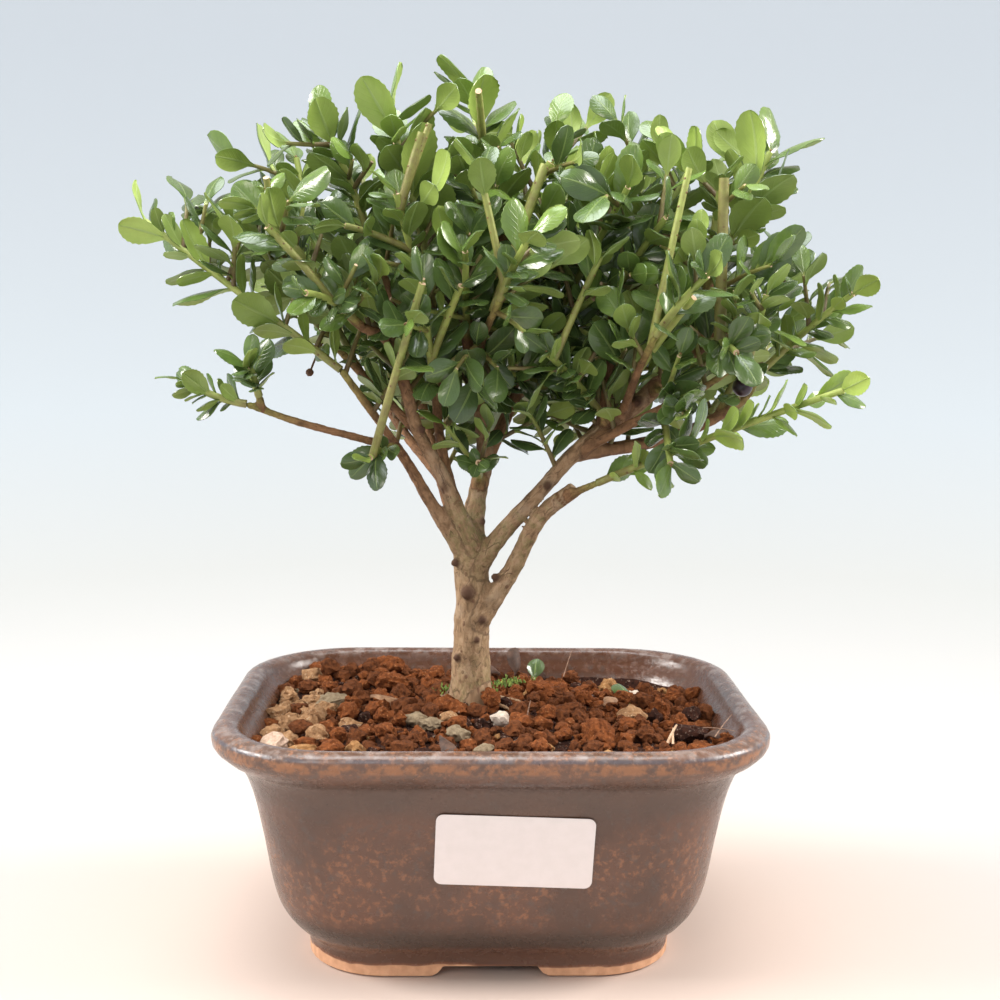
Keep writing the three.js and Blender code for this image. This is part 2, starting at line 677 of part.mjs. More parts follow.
// Leaves of a stem: alternate, each a golden turn on from the last, wide of the stem at its foot
// and nearly in line with it at the tip.
function leavesOf(stem, first, count, size, random, owner) {
  const turn0 = random() * 2 * Math.PI;
  const leaves = [];
  for (let i = 0; i < count; i += 1) {
    const share = i / (count - 1);
    const t = first + (LAST_LEAF - first) * share ** 0.9;
    const look = {
      roll: (random() - 0.5) * 0.7,
      width: 0.5 + 0.1 * random(),
      arch: 0.05 + 0.2 * random(),
      cup: 0.1 + 0.3 * random(),
    };
    const length = size * (0.82 + 0.25 * Math.sin(Math.PI * (share * 0.8 + 0.15)))
      * (0.92 + 0.16 * random());
    const spread = 0.95 - 0.55 * share + 0.2 * (random() - 0.5);
    for (let attempt = 0; attempt < TRIES; attempt += 1) {
      const turn = turn0 + i * GOLDEN_TURN + attempt * 0.7;
      const leaf = leafAt(stem, t, turn, spread - 0.03 * attempt, length, look);
      if (isInside(leaf) && isClear(leaf, owner)) {
        leaves.push(leaf);
        const dots = leafDots(leaf);
        blades.push({ dots, middle: dots[1], reach: length, room: DOT_ROOM * length, owner });
        break;
      }
    }
  }
  return leaves;
}

// A straight side twig on a shoot, if one of a few tries at it finds room, and null otherwise.
function twigOf(stem, wood, random, owner) {
  for (let attempt = 0; attempt < TRIES; attempt += 1) {
    const t = wood + (1 - wood) * (TWIG_FOOT.first + TWIG_FOOT.spread * random());
    const ahead = stem.getTangent(t);
    const out = outward(ahead, random() * 2 * Math.PI);
    const start = stem.getPoint(t);
    const reach = TWIG_LENGTH + TWIG_STRAY * random();
    const tip = start.clone().addScaledVector(ahead, reach * Math.cos(TWIG_LEAN))
      .addScaledVector(out, reach * Math.sin(TWIG_LEAN));
    const dots = TWIG_DOTS.map((share) => start.clone().lerp(tip, share));
    const meetsRod = rods.some((rod) => rod.owner !== owner && dots.some(
      (dot) => distanceToSegment(dot, rod.a, rod.b) < rod.radius + TWIG_RADIUS + TWIG_ROOM,
    ));
    const meetsBlade = blades.some((blade) => dots.some((dot) => blade.dots.some(
      (other) => dot.distanceTo(other) < TWIG_RADIUS + TWIG_ROOM,
    )));
    const isOutside = Math.abs(tip.x) > CROWN.x - reach || Math.abs(tip.y) > CROWN.y - reach / 2;
    if (!meetsRod && !meetsBlade && !isOutside) {
      return new THREE.LineCurve3(start, tip);
    }
  }
  return null;
}

function greenStations(shoot, stem) {
  const start = woodShare(shoot, stem) + shareOf(GAP, stem);
  return Array.from({ length: STEM_STEPS + 1 }, (_, i) => {
    const share = i / STEM_STEPS;
    const radius = STEM_RADIUS + (TIP_RADIUS - STEM_RADIUS) * share;
    return { point: stem.getPoint(start + (1 - start) * share), radius };
  });
}

function buildShoots() {
  const stems = SHOOTS.map(stemOf);
  const woods = SHOOTS.map((shoot, i) => woodShare(shoot, stems[i]));
  const greens = SHOOTS.map((shoot, i) => greenStations(shoot, stems[i]));
  Object.values(LIMBS).forEach((path) => addRods(limbStations(path), "wood"));
  SHOOTS.forEach((shoot, i) => {
    const spur = [0, woods[i]].map((t) => ({ point: stems[i].getPoint(t), radius: SPUR_RADIUS }));
    addRods(spur, "wood");
    addRods(greens[i], i);
  });
  const bodies = SHOOTS.map(([, , , count, size], i) => {
    const first = woods[i] + shareOf(FIRST_LEAF, stems[i]);
    return leavesOf(stems[i], first, count, size, randomFrom(101 + i), i)
      .map((leaf) => solid(buildLeaf(leaf)));
  });
  // A shoot whose middle lies near the heart of the crown forks once.
  const heart = new THREE.Vector3(HEART.x, HEART.y, HEART.z);
  stems.forEach((stem, i) => {
    const random = randomFrom(701 + i);
    const isInHeart = stem.getPoint(0.5).distanceTo(heart) < HEART.reach;
    const twig = isInHeart ? twigOf(stem, woods[i], random, i) : null;
    if (twig) {
      const ends = [0, 1].map((t) => ({ point: twig.getPoint(t), radius: TWIG_RADIUS }));
      addRods(ends, i);
      bodies[i].push(solid(tube(ends, STEM_SIDES)));
      const leaves = leavesOf(twig, TWIG_BARE, TWIG_LEAVES, TWIG_LEAF, random, i);
      bodies[i].push(...leaves.map((leaf) => solid(buildLeaf(leaf))));
    }
  });
  greens.forEach((green, i) => {
    const name = `spray_${String(i + 1).padStart(2, "0")}`;
    place(name, geometryOf(fused([solid(tube(green, STEM_SIDES)), ...bodies[i]])), FOLIAGE);
  });
}

// Fruit: a ripe drupe and a dried one, each on its stalk.

function buildFruit() {
  for (const [name, { limb, share, middle, radius }] of Object.entries(FRUIT)) {
    const heart = new THREE.Vector3(...middle);
    const anchor = along(LIMBS[limb], share);
    const down = heart.clone().sub(anchor.point).normalize();
    const start = anchor.point.clone().addScaledVector(down, anchor.radius + GAP);
    const stalk = tube([start, heart].map((point) => ({ point, radius: STALK_RADIUS })), 4);
    const ball = new THREE.IcosahedronGeometry(radius, 1);
    ball.translate(heart.x, heart.y, heart.z);
    const material = name === "berry" ? RIPE : DRIED;
    place(name, geometryOf(solid(stalk).add(solid(ball))), material);
  }
}

// Label: a bare sticker on the pot's front wall.

function buildLabel() {
  const { width, height, corner, thick, x, z, turn } = LABEL;
  const outline = new THREE.Shape();
  const [w, h] = [width / 2, height / 2];
  outline.moveTo(-w + corner, -h);
  outline.lineTo(w - corner, -h);
  outline.quadraticCurveTo(w, -h, w, -h + corner);
  outline.lineTo(w, h - corner);
  outline.quadraticCurveTo(w, h, w - corner, h);
  outline.lineTo(-w + corner, h);
  outline.quadraticCurveTo(-w, h, -w, h - corner);
  outline.lineTo(-w, -h + corner);
  outline.quadraticCurveTo(-w, -h, -w + corner, -h);
  const sheet = new THREE.ExtrudeGeometry(outline, {
    depth: thick,
    bevelEnabled: false,
    curveSegments: 3,
  });
  const low = wallDepth(z - h);
  const high = wallDepth(z + h);
  const lean = Math.atan2(high - low, height);
  sheet.rotateZ(turn).rotateX(Math.PI / 2 + lean);
  place("label", sheet, PAPER).position.set(x, -(low + high) / 2 - GAP, z);
}

// How far the front wall stands from the middle of the pot at a height.
function wallDepth(z) {
  const above = OUTER_SIDE.findIndex(([height]) => height > z);
  const [z0, half0] = OUTER_SIDE[above - 1];
  const [z1, half1] = OUTER_SIDE[above];
  const half = half0 + (half1 - half0) * (z - z0) / (z1 - z0);
  return -potRing(z, half).reduce((least, point) => Math.min(least, point.y), 0);
}

buildPot();
buildScreens();
buildSoil();
buildWood();
buildShoots();
buildFruit();
buildLabel();

export default bonsai;
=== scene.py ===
# The looks of a small Japanese holly bonsai in its glazed, footed pot, dressed over the packed
# model. Lengths are millimetres up to the moment a mesh is made, where MM turns them into metres.

import math

import bmesh
import bpy
import numpy as np
from mathutils import Matrix, Vector, noise
from mathutils.kdtree import KDTree


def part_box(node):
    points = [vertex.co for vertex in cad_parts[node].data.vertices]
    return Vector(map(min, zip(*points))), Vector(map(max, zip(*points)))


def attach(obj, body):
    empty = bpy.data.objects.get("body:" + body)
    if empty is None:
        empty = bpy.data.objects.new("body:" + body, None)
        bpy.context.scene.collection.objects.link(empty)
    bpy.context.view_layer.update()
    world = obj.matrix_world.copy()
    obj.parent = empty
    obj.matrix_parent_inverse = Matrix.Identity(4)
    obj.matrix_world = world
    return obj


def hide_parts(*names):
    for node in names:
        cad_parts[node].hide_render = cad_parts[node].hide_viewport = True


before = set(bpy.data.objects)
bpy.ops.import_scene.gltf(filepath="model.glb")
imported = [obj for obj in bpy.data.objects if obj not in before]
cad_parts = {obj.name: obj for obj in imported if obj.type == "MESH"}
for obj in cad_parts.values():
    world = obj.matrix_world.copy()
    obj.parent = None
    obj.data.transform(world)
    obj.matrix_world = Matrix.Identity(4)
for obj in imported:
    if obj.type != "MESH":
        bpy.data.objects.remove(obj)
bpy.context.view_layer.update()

MM = 0.001
UP = np.array([0.0, 0.0, 1.0])

# Camera, as the photograph was taken

CAMERA_PLACE = (-7.7, -399.9, 173.0)
CAMERA_HEADING = 0.0252
CAMERA_DOWN = math.radians(6.84)
CAMERA_ROLL = 0.0094
CAMERA_LENS = 50.8

# Pot

POT_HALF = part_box("pot")[1][0] / MM
POT_HALF_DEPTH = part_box("pot")[1][1] / MM
FOOT_HALF = 50.5
FOOT_HALF_DEPTH = 38.0
RIM_CORNER = 33.0
FOOT_CORNER = 22.0
OUTER_SIDE = [
    (0, 50.5), (6, 51), (10.8, 55), (15.7, 58), (23, 60.2), (38, 62.7), (50, 65.2), (57, 68),
    (60, 71.5), (63, 74.3), (65.5, 75), (67.6, 74.2), (68.7, 71.8),
]
INNER_SIDE = [(67.9, 69), (65, 67.2), (58, 63), (30, 56.5), (14, 52), (9, 47)]
FOOT_RING = 8.0
FOOT_RECESS = 4.0
NOTCH_HALF = 14.0
NOTCH_HEIGHT = 3.3
NOTCH_SLOPE = 3.2
PROFILE_STEPS = 4
DRAIN_X = 22.0
DRAIN_RADIUS = 6.0
CLAY_LINE = 3.2

# Levels are heights over the wall, each with its share of the label's size
LABEL = {
    "width": 41, "height": 20, "corner": 2, "x": 5.7, "z": 40, "turn": 0.035,
    "levels": [(0.30, 1), (0.42, 1), (0.45, 0.985), (0.45, 0.8), (0.45, 0.5), (0.45, 0.2)],
}

# Soil

SOIL_MIDDLE = 65.2
SOIL_EDGE = 61.8
SOIL_HALF = (63, 50)
TRUNK_X = -5.5
# Mounds and dips: rise, x, y, and how far each spreads sideways and in depth
SOIL_MOUNDS = [(4, -38, 40, 26, 16), (3.2, TRUNK_X, -3, 15, 12), (-3.4, 44, 42, 24, 20)]
# The dark bed under the granules: its wall as height and half width, and how deep its top lies
BED_WALL = [(9.3, 47), (14, 52), (30, 56.5), (58, 63), (61, 64.6)]
BED_DEPTH = 2.6

# Tree: limbs as points of x, y, z and radius

LIMBS = {
    "trunk": [
        (-5.5, 0, 44.3, 6.5), (-5.5, 0, 64, 6.5), (-5.6, 0, 69, 6.2), (-5.6, 0, 77, 5.5),
        (-5.6, 0, 84, 5.2), (-5.2, 0, 96, 5), (-5.8, 0, 106, 4.9), (-6.6, 0, 113, 4.6),
        (-6.8, 0.5, 117, 3.6),
    ],
    "leftLow": [
        (-7, -1, 109, 2.8), (-16, -6, 123, 1.8), (-24, -10, 137, 1.4), (-30, -12, 146, 1.2),
        (-41, -18, 162, 1),
    ],
    "leftLevel": [
        (-26, -11, 140, 1.2), (-34, -16, 143, 1.1), (-52, -20, 148, 1), (-66, -22, 153, 0.9),
    ],
    "left": [
        (-6, -2, 112, 3), (-13.6, -8, 132, 1.9), (-20.5, -12, 145, 1.8), (-24, -12, 157, 1.7),
        (-29, -14, 170, 1.5), (-36, -18, 174, 1.2), (-43, -24, 181, 1),
    ],
    "leftInner": [(-28, -14, 168, 1.2), (-28, -8, 181, 1.1), (-34, -5, 197, 0.9)],
    "leftBare": [
        (-19, -11, 143, 1.4), (-26, -8, 150, 1.3), (-34, -4, 158, 1.2), (-41, -2, 165, 1.1),
        (-49, 0, 174, 0.9),
    ],
    "leftBack": [
        (-8, 3, 111, 2.6), (-15, 14, 132, 1.9), (-20, 22, 149, 1.6), (-24, 28, 167, 1.3),
        (-24, 32, 185, 1.1),
    ],
    "farLeft": [(-13, 11, 128, 1.6), (-29, 29, 146, 1.4), (-41, 43, 167, 1.1)],
    "upright": [(-11, -6, 126, 1.6), (-15, -6, 145, 1.4), (-16, -9, 165, 1.3), (-17, -12, 187, 1)],
    "middle": [
        (-6, 1, 112, 3.6), (-4.2, 3, 126, 2.6), (-2, 4, 137, 2.4), (-4, 0, 153, 1.7),
        (-7, -4, 168, 1.6), (-7, -6, 179, 1.5), (-1, -6, 192, 1.4), (2, -6, 198, 1.4),
    ],
    "middleFront": [(-5, -2, 160, 1.3), (-3, -18, 171, 1.1), (1, -32, 181, 0.9)],
    "middleRight": [(-3, 4, 133, 1.9), (7, 12, 154, 1.7), (13, 14, 168, 1.5), (19, 14, 177, 1.2)],
    "middleBack": [(-4, 5, 129, 2), (3, 30, 152, 1.7), (3, 42, 173, 1.4), (0, 50, 192, 1.1)],
    "farRight": [(1, 22, 145, 1.7), (14, 40, 160, 1.4), (24, 54, 172, 1.1)],
    "right": [
        (-5, 0, 104, 3.2), (1, -2, 113.3, 2.6), (13.3, -4, 127.7, 2), (24, -6, 140, 2.2),
        (41, -8, 154, 2.4), (50, -8, 163, 2.3), (58, -10, 170, 1.9), (66, -12, 173, 1),
    ],
    "rightUp": [(57, -10, 168, 1.7), (58, -12, 182, 1.5), (59, -12, 192, 1.4)],
    "rightThin": [(25, -6, 140, 1.5), (43, -16, 151, 1.2), (56, -20, 158, 1), (68, -24, 167, 0.9)],
    "rightLevel": [
        (24, -5, 139, 2.1), (44, 6, 141, 1.9), (58, 8, 145, 1.7), (72, 8, 153, 1.3),
        (77, 8, 161, 1.1),
    ],
    "rightInner": [(30, -6, 146, 1.6), (33, -4, 165, 1.3), (33, -2, 182, 1.1)],
    "rightBack": [(27, -5, 142, 2), (39, 25, 156, 1.7), (46, 40, 174, 1.3)],
    "rightFront": [(36, -8, 150, 1.4), (38, -24, 162, 1.1), (41, -36, 172, 0.9)],
    "lowRight": [
        (-3, -1, 91, 3), (5.8, -3, 105.3, 2.4), (13.5, -7, 121, 2.3), (23, -10, 129.5, 2.2),
    ],
}
LIMBS = {name: np.array(path, float) for name, path in LIMBS.items()}

# Leafy shoots: limb, share of its length, tip, number of leaves, largest leaf, bow upwards
SHOOTS = [
    ("leftLow", 1, (-96, -3, 202), 9, 16, 0),
    ("leftLevel", 1, (-82, -23, 159), 5, 9.5, -1),
    ("leftLevel", 0.9, (-64, -29, 163), 5, 11, 1),
    ("leftLow", 0.6, (-33, -24, 139), 3, 11, 1),
    ("left", 1, (-61, -34, 203), 7, 14, 2),
    ("left", 0.82, (-48, -40, 182), 5, 12, 2),
    ("leftInner", 1, (-45, -12, 225), 8, 15, 2),
    ("upright", 0.5, (-19, -33, 186), 6, 14, -3),
    ("upright", 0.85, (-26, -26, 208), 6, 13, -2),
    ("upright", 1, (-28, -11, 229), 8, 19, 1),
    ("middle", 0.6, (-8, -34, 193), 6, 14, -2),
    ("middle", 1, (-6, -9, 236), 9, 16, 0),
    ("middle", 0.93, (15, -12, 218), 3, 10, 0),
    ("middleFront", 1, (8, -46, 196), 6, 14, 1),
    ("middleRight", 0.75, (16, 0, 206), 6, 13, 0),
    ("middleRight", 0.9, (35, -20, 211), 7, 17, 0),
    ("middleRight", 1, (17, 8, 230), 7, 14, 0),
    ("rightInner", 1, (45, -22, 203), 6, 14, 1),
    ("rightInner", 0.84, (54, -4, 218), 6, 14, 1),
    ("rightInner", 0.62, (44, 15, 223), 7, 14, 2),
    ("rightFront", 1, (52, -48, 187), 6, 14, 1),
    ("rightUp", 1, (61, -15, 214), 3, 10, 0),
    ("rightUp", 0.6, (75, -8, 222), 7, 19, 0),
    ("rightThin", 1, (71, -28, 183), 5, 13, 0),
    ("rightLevel", 1, (99, -9, 184), 8, 13, 1),
    ("rightLevel", 0.62, (89, 22, 192), 6, 13, 1),
    ("lowRight", 0.88, (87, -48, 159), 10, 13, 1),
    ("middle", 0.18, (-4, -14, 137), 3, 8, 1),
    ("middleRight", 0.35, (24, 0, 158), 5, 11, 1),
    ("right", 0.62, (50, -30, 152), 4, 13, 1),
    ("right", 0.84, (62, -36, 168), 5, 13, 2),
    ("rightThin", 0.4, (46, -34, 139), 4, 13, 0),
    ("middleRight", 0.6, (27, -12, 182), 6, 13, 1),
    ("leftBack", 1, (-31, 36, 214), 7, 14, 0),
    ("leftBack", 0.72, (-50, 40, 194), 6, 14, 2),
    ("farLeft", 1, (-68, 50, 200), 7, 14, 1),
    ("farLeft", 0.7, (-44, 60, 192), 6, 13, 2),
    ("farLeft", 0.45, (-24, 58, 160), 6, 13, 1),
    ("middleBack", 1, (-5, 56, 216), 7, 14, 0),
    ("middleBack", 0.8, (-22, 60, 197), 6, 13, 1),
    ("middleBack", 0.66, (22, 36, 204), 6, 14, 2),
    ("farRight", 1, (36, 60, 196), 6, 14, 0),
    ("farRight", 0.5, (2, 62, 168), 5, 13, 1),
    ("rightBack", 1, (64, 50, 196), 7, 14, 1),
    ("rightBack", 0.8, (56, 58, 168), 6, 13, 1),
    ("rightBack", 0.9, (40, 34, 209), 6, 14, 1),
    ("rightLevel", 0.55, (78, 38, 160), 6, 13, 1),
    ("leftBare", 1, (-72, 0, 203), 7, 14, 1),
    ("leftBare", 0.6, (-60, 22, 194), 6, 13, 2),
    ("leftBare", 0.85, (-56, 10, 221), 7, 14, 0),
    ("middle", 0.42, (13, -6, 172), 8, 11, 0),
    ("right", 0.5, (14, -26, 167), 8, 11, 1),
]

GAP = 0.3
SPUR_RADIUS = 1.1
SPUR_LENGTH = 4.0
STEM_RADIUS = 0.85
TIP_RADIUS = 0.6
STEM_STEPS = 3
GOLDEN_TURN = 2.39996
LIGHT = 0.15
TRIES = 10
DOT_ROOM = 0.105
FIRST_LEAF = 1.2
LAST_LEAF = 0.985
CROWN = np.array([106.5, 63, 246.5])

# Side twigs that the solids have near the heart of the crown
TWIG_RADIUS = 0.65
TWIG_FOOT = (0.15, 0.5)
TWIG_DOTS = (0.3, 0.5, 0.75, 1)
TWIG_BARE = 0.3
TWIG_LENGTH = 13
TWIG_STRAY = 6
TWIG_LEAVES = 4
TWIG_LEAF = 10.5
TWIG_LEAN = 0.85
TWIG_ROOM = 1.3
HEART = np.array([14, -1, 160])
HEART_REACH = 42


def unit(vector):
    return vector / np.linalg.norm(vector)


def random_from(seed):
    """The same draws from 0 to 1 in every run."""
    state = (seed * 7919 + 12345) % 2**32
    while True:
        state = (state * 1664525 + 1013904223) % 2**32
        yield state / 2**32


# Curves of the tree, as in the solids


def along(path, share):
    """The point and the radius at a share of a smooth path."""
    spans = len(path) - 1
    place = min(max(share, 0), 1) * spans
    span = min(int(place), spans - 1)
    t = place - span
    b, c = path[span], path[span + 1]
    a = path[span - 1] if span > 0 else 2 * b - c
    d = path[span + 2] if span + 2 < len(path) else 2 * c - b
    point = 0.5 * (
        2 * b + (c - a) * t + (2 * a - 5 * b + 4 * c - d) * t**2 + (3 * b - a - 3 * c + d) * t**3
    )
    return point[:3], b[3] + (c[3] - b[3]) * t


class Stem:
    """A bowed curve from inside a limb to the tip of a shoot."""

    def __init__(self, start, tip, bow):
        self.start = np.array(start, float)
        self.tip = np.array(tip, float)
        self.middle = (self.start + self.tip) / 2 + 2 * bow * UP

    def point(self, t):
        return (1 - t) ** 2 * self.start + 2 * (1 - t) * t * self.middle + t * t * self.tip

    def ahead(self, t):
        step = 0.0001
        return unit(self.point(min(t + step, 1)) - self.point(max(t - step, 0)))

    def points(self, start, end, count):
        return np.array([self.point(t) for t in np.linspace(start, end, count)])

    def share_of(self, length):
        return length / (2 * np.linalg.norm(self.start - self.middle))


def wood_share(limb, share, stem):
    """The share of a shoot's curve that is wood."""
    point, radius = along(LIMBS[limb], share)
    before = along(LIMBS[limb], share - 0.01)[0]
    slant = math.acos(min(1, unit(point - before) @ stem.ahead(0)))
    if share == 1:
        room = STEM_RADIUS * math.tan(min(slant, 1.5)) + GAP / 2
        return stem.share_of(min(room, radius + GAP))
    spur = (radius + STEM_RADIUS + GAP) / math.sin(slant)
    return stem.share_of(max(spur, radius + SPUR_LENGTH))


# Leaves, as in the solids


def outward(ahead, turn):
    """A direction square to a stem, at a turn round it from the top."""
    level = np.array([0.0, -1.0, 0.0]) if abs(ahead[2]) > 0.95 else UP
    level = unit(level - ahead * (level @ ahead))
    return level * math.cos(turn) + np.cross(ahead, level) * math.sin(turn)


class Leaf:
    """A blade by its foot, its directions and its form."""

    def __init__(self, stem, t, turn, spread, length, look):
        ahead = stem.ahead(t)
        out = outward(ahead, turn)
        self.axis = ahead * math.cos(spread) + out * math.sin(spread)
        face = ahead * math.sin(spread) - out * math.cos(spread)
        face = face * (1 - LIGHT) + UP * LIGHT
        face = unit(face - self.axis * (face @ self.axis))
        roll, width, self.arch, self.cup = look
        face = face * math.cos(roll) + np.cross(self.axis, face) * math.sin(roll)
        self.face = unit(face)
        self.side = np.cross(self.axis, self.face)
        self.base = stem.point(t)
        self.length = length
        self.width = length * width

    def middle(self, s):
        lift = self.arch * self.length * s * (1 - 1.6 * s)
        return self.base + self.axis * self.length * s + self.face * lift

    def point(self, s, across):
        half = self.width / 2 * outline(s)
        return self.middle(s) + self.side * across * half - self.face * self.cup * half * across**2

    def dots(self):
        return np.array([self.point(s, across) for s, across in DOTS])


def outline(s):
    """Half width along a leaf, as a share of its greatest."""
    if s > 0.6:
        return math.sqrt(max(0, 1 - ((s - 0.6) / 0.4) ** 2))
    return math.sin(math.pi / 2 * s / 0.6) ** 1.3


DOTS = [
    (0.26, 0), (0.5, 0), (0.74, 0), (0.96, 0), (0.44, 0.62), (0.44, -0.62), (0.74, 0.66),
    (0.74, -0.66),
]


MOST = 6000  # rods or leaves that a crowd can hold
WOOD, NOBODY = -1, -2  # owners of rods that belong to no shoot


class Crowd:
    """Everything that a leaf or twig has to clear: rods of wood and stem, and other leaves."""

    def __init__(self):
        self.rods = np.zeros((MOST, 7))
        self.rod_owners = np.zeros(MOST, int)
        self.rod_count = 0
        self.blades = np.zeros((MOST, len(DOTS), 3))
        self.lengths = np.zeros(MOST)
        self.owners = np.zeros(MOST, int)
        self.blade_count = 0

    def add_rods(self, stations, owner):
        for (a, radius_a), (b, radius_b) in zip(stations, stations[1:]):
            self.rods[self.rod_count] = (*a, *b, max(radius_a, radius_b))
            self.rod_owners[self.rod_count] = owner
            self.rod_count += 1

    def take(self, leaf, owner):
        """Adds a leaf if it has room, and says whether it did."""
        if not (is_inside(leaf) and self.is_clear(leaf, owner)):
            return False
        self.blades[self.blade_count] = leaf.dots()
        self.lengths[self.blade_count] = leaf.length
        self.owners[self.blade_count] = owner
        self.blade_count += 1
        return True

    def blade_dots(self):
        return self.blades[: self.blade_count].reshape(-1, 3)

    def blade_room(self, dots):
        """The least distance from the dots to a leaf's."""
        return np.linalg.norm(self.blade_dots()[:, None] - dots, axis=2).min()

    def rod_room(self, dots, owner):
        """The least free distance from the dots to a rod of another owner."""
        rods = self.rods[: self.rod_count][self.rod_owners[: self.rod_count] != owner]
        a, span = rods[:, :3], rods[:, 3:6] - rods[:, :3]
        offset = dots[:, None] - a
        t = (offset * span).sum(2) / (span**2).sum(1)
        nearest = a + span * np.clip(t, 0, 1)[:, :, None]
        distance = np.linalg.norm(dots[:, None] - nearest, axis=2)
        return (distance - rods[:, 6]).min()

    def is_clear(self, leaf, owner):
        room = DOT_ROOM * leaf.length
        dots = leaf.dots()
        if self.rod_room(dots, owner) < room:
            return False
        blades = self.blades[: self.blade_count]
        lengths = self.lengths[: self.blade_count]
        share = np.where(self.owners[: self.blade_count] == owner, 0.6, 1)
        near = np.linalg.norm(blades[:, 1] - dots[1], axis=1) <= leaf.length + lengths
        if not near.any():
            return True
        gaps = np.linalg.norm(blades[near][:, :, None] - dots, axis=3).min((1, 2))
        rooms = share[near] * (room + DOT_ROOM * lengths[near])
        return bool((gaps >= rooms).all())


def is_inside(leaf):
    end = leaf.middle(1)
    return bool(abs(end[0]) < CROWN[0] and abs(end[1]) < CROWN[1] and end[2] < CROWN[2])


def limb_stations(path):
    steps = max(len(path) - 1, 4)
    return [along(path, i / steps) for i in range(steps + 1)]


def green_stations(stem, wood):
    start = wood + stem.share_of(GAP)
    shares = [i / STEM_STEPS for i in range(STEM_STEPS + 1)]
    return [
        (stem.point(start + (1 - start) * s), STEM_RADIUS + (TIP_RADIUS - STEM_RADIUS) * s)
        for s in shares
    ]


def leaves_of(stem, first, count, size, draws, owner, crowd):
    """The leaves of a stem, each with its share of the way along the leafy part."""
    turn0 = next(draws) * 2 * math.pi
    leaves = []
    for i in range(count):
        share = i / (count - 1)
        t = first + (LAST_LEAF - first) * share**0.9
        roll = (next(draws) - 0.5) * 0.7
        width = 0.5 + 0.1 * next(draws)
        arch = 0.05 + 0.2 * next(draws)
        cup = 0.1 + 0.3 * next(draws)
        length = size * (0.82 + 0.25 * math.sin(math.pi * (share * 0.8 + 0.15)))
        length *= 0.92 + 0.16 * next(draws)
        spread = 0.95 - 0.55 * share + 0.2 * (next(draws) - 0.5)
        for attempt in range(TRIES):
            turn = turn0 + i * GOLDEN_TURN + attempt * 0.7
            look = (roll, width, arch, cup)
            leaf = Leaf(stem, t, turn, spread - 0.03 * attempt, length, look)
            if crowd.take(leaf, owner):
                leaves.append((leaf, share))
                break
    return leaves


def twig_of(stem, wood, draws, owner, crowd):
    """A straight side twig on a shoot, if one of a few tries at it finds room."""
    for _ in range(TRIES):
        t = wood + (1 - wood) * (TWIG_FOOT[0] + TWIG_FOOT[1] * next(draws))
        ahead = stem.ahead(t)
        out = outward(ahead, next(draws) * 2 * math.pi)
        start = stem.point(t)
        reach = TWIG_LENGTH + TWIG_STRAY * next(draws)
        tip = start + (ahead * math.cos(TWIG_LEAN) + out * math.sin(TWIG_LEAN)) * reach
        dots = np.array([start + (tip - start) * share for share in TWIG_DOTS])
        free = min(crowd.rod_room(dots, owner), crowd.blade_room(dots))
        outside = abs(tip[0]) > CROWN[0] - reach or abs(tip[1]) > CROWN[1] - reach / 2
        if free >= TWIG_RADIUS + TWIG_ROOM and not outside:
            return Stem(start, tip, 0)
    return None


# Skins and pieces


def add_values(mesh, name, values, kind="FLOAT"):
    layer = mesh.attributes.new(name, kind, "POINT")
    layer.data.foreach_set("value" if kind == "FLOAT" else "vector", values)


class Skin:
    """Points and faces gathered for one piece. A face has a material slot. A point has a place
    on its leaf, uv, and a tone from 0, old, to 1, young."""

    def __init__(self):
        self.points, self.faces, self.slots, self.uvs, self.tones = [], [], [], [], []
        self.total = 0

    def add(self, points, faces, slot=0, uv=None, tone=0.0):
        points = np.asarray(points, float).reshape(-1, 3)
        self.points.append(points)
        self.faces.extend([[i + self.total for i in face] for face in faces])
        self.slots.extend(slot if isinstance(slot, list) else [slot] * len(faces))
        self.uvs.append(np.zeros((len(points), 2)) if uv is None else uv)
        self.tones.append(np.full(len(points), tone))
        self.total += len(points)

    def mesh(self, name):
        mesh = bpy.data.meshes.new(name)
        mesh.from_pydata((np.concatenate(self.points) * MM).tolist(), [], self.faces)
        mesh.polygons.foreach_set("material_index", self.slots)
        corners = np.zeros(len(mesh.loops), int)
        mesh.loops.foreach_get("vertex_index", corners)
        layer = mesh.uv_layers.new(name="Place")
        layer.uv.foreach_set("vector", np.concatenate(self.uvs)[corners].ravel())
        add_values(mesh, "tone", np.concatenate(self.tones))
        return mesh


def put(name, data):
    """Puts an object with this data in the scene."""
    thing = bpy.data.objects.new(name, data)
    bpy.context.scene.collection.objects.link(thing)
    return thing


def add_piece(name, skin, materials, replaces=(), sharp=50):
    """Puts a skin in the scene as a piece that rides on the part."""
    mesh = skin.mesh(name)
    for material in materials:
        mesh.materials.append(material)
    mesh.shade_smooth()
    mesh.set_sharp_from_angle(angle=math.radians(sharp))
    piece = put(name, mesh)
    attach(piece, "root")
    if replaces:
        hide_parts(*replaces)
    return piece


def settle_modifiers(piece):
    """Applies a piece's modifiers to its mesh."""
    graph = bpy.context.evaluated_depsgraph_get()
    mesh = bpy.data.meshes.new_from_object(piece.evaluated_get(graph))
    piece.modifiers.clear()
    piece.data = mesh


def bands(rows, columns, closed):
    """Faces between rows of points; a closed row joins its last point to its first."""
    faces = []
    for row in range(rows - 1):
        for column in range(columns if closed else columns - 1):
            a = row * columns + column
            b = row * columns + (column + 1) % columns
            faces.append((a, b, b + columns, a + columns))
    return faces


def shell(rings):
    """The points and faces of a stack of rings, closed at both ends."""
    count = len(rings[0])
    faces = bands(len(rings), count, True)
    faces.append(tuple(range(count))[::-1])
    faces.append(tuple(range((len(rings) - 1) * count, len(rings) * count)))
    return np.concatenate(rings), faces


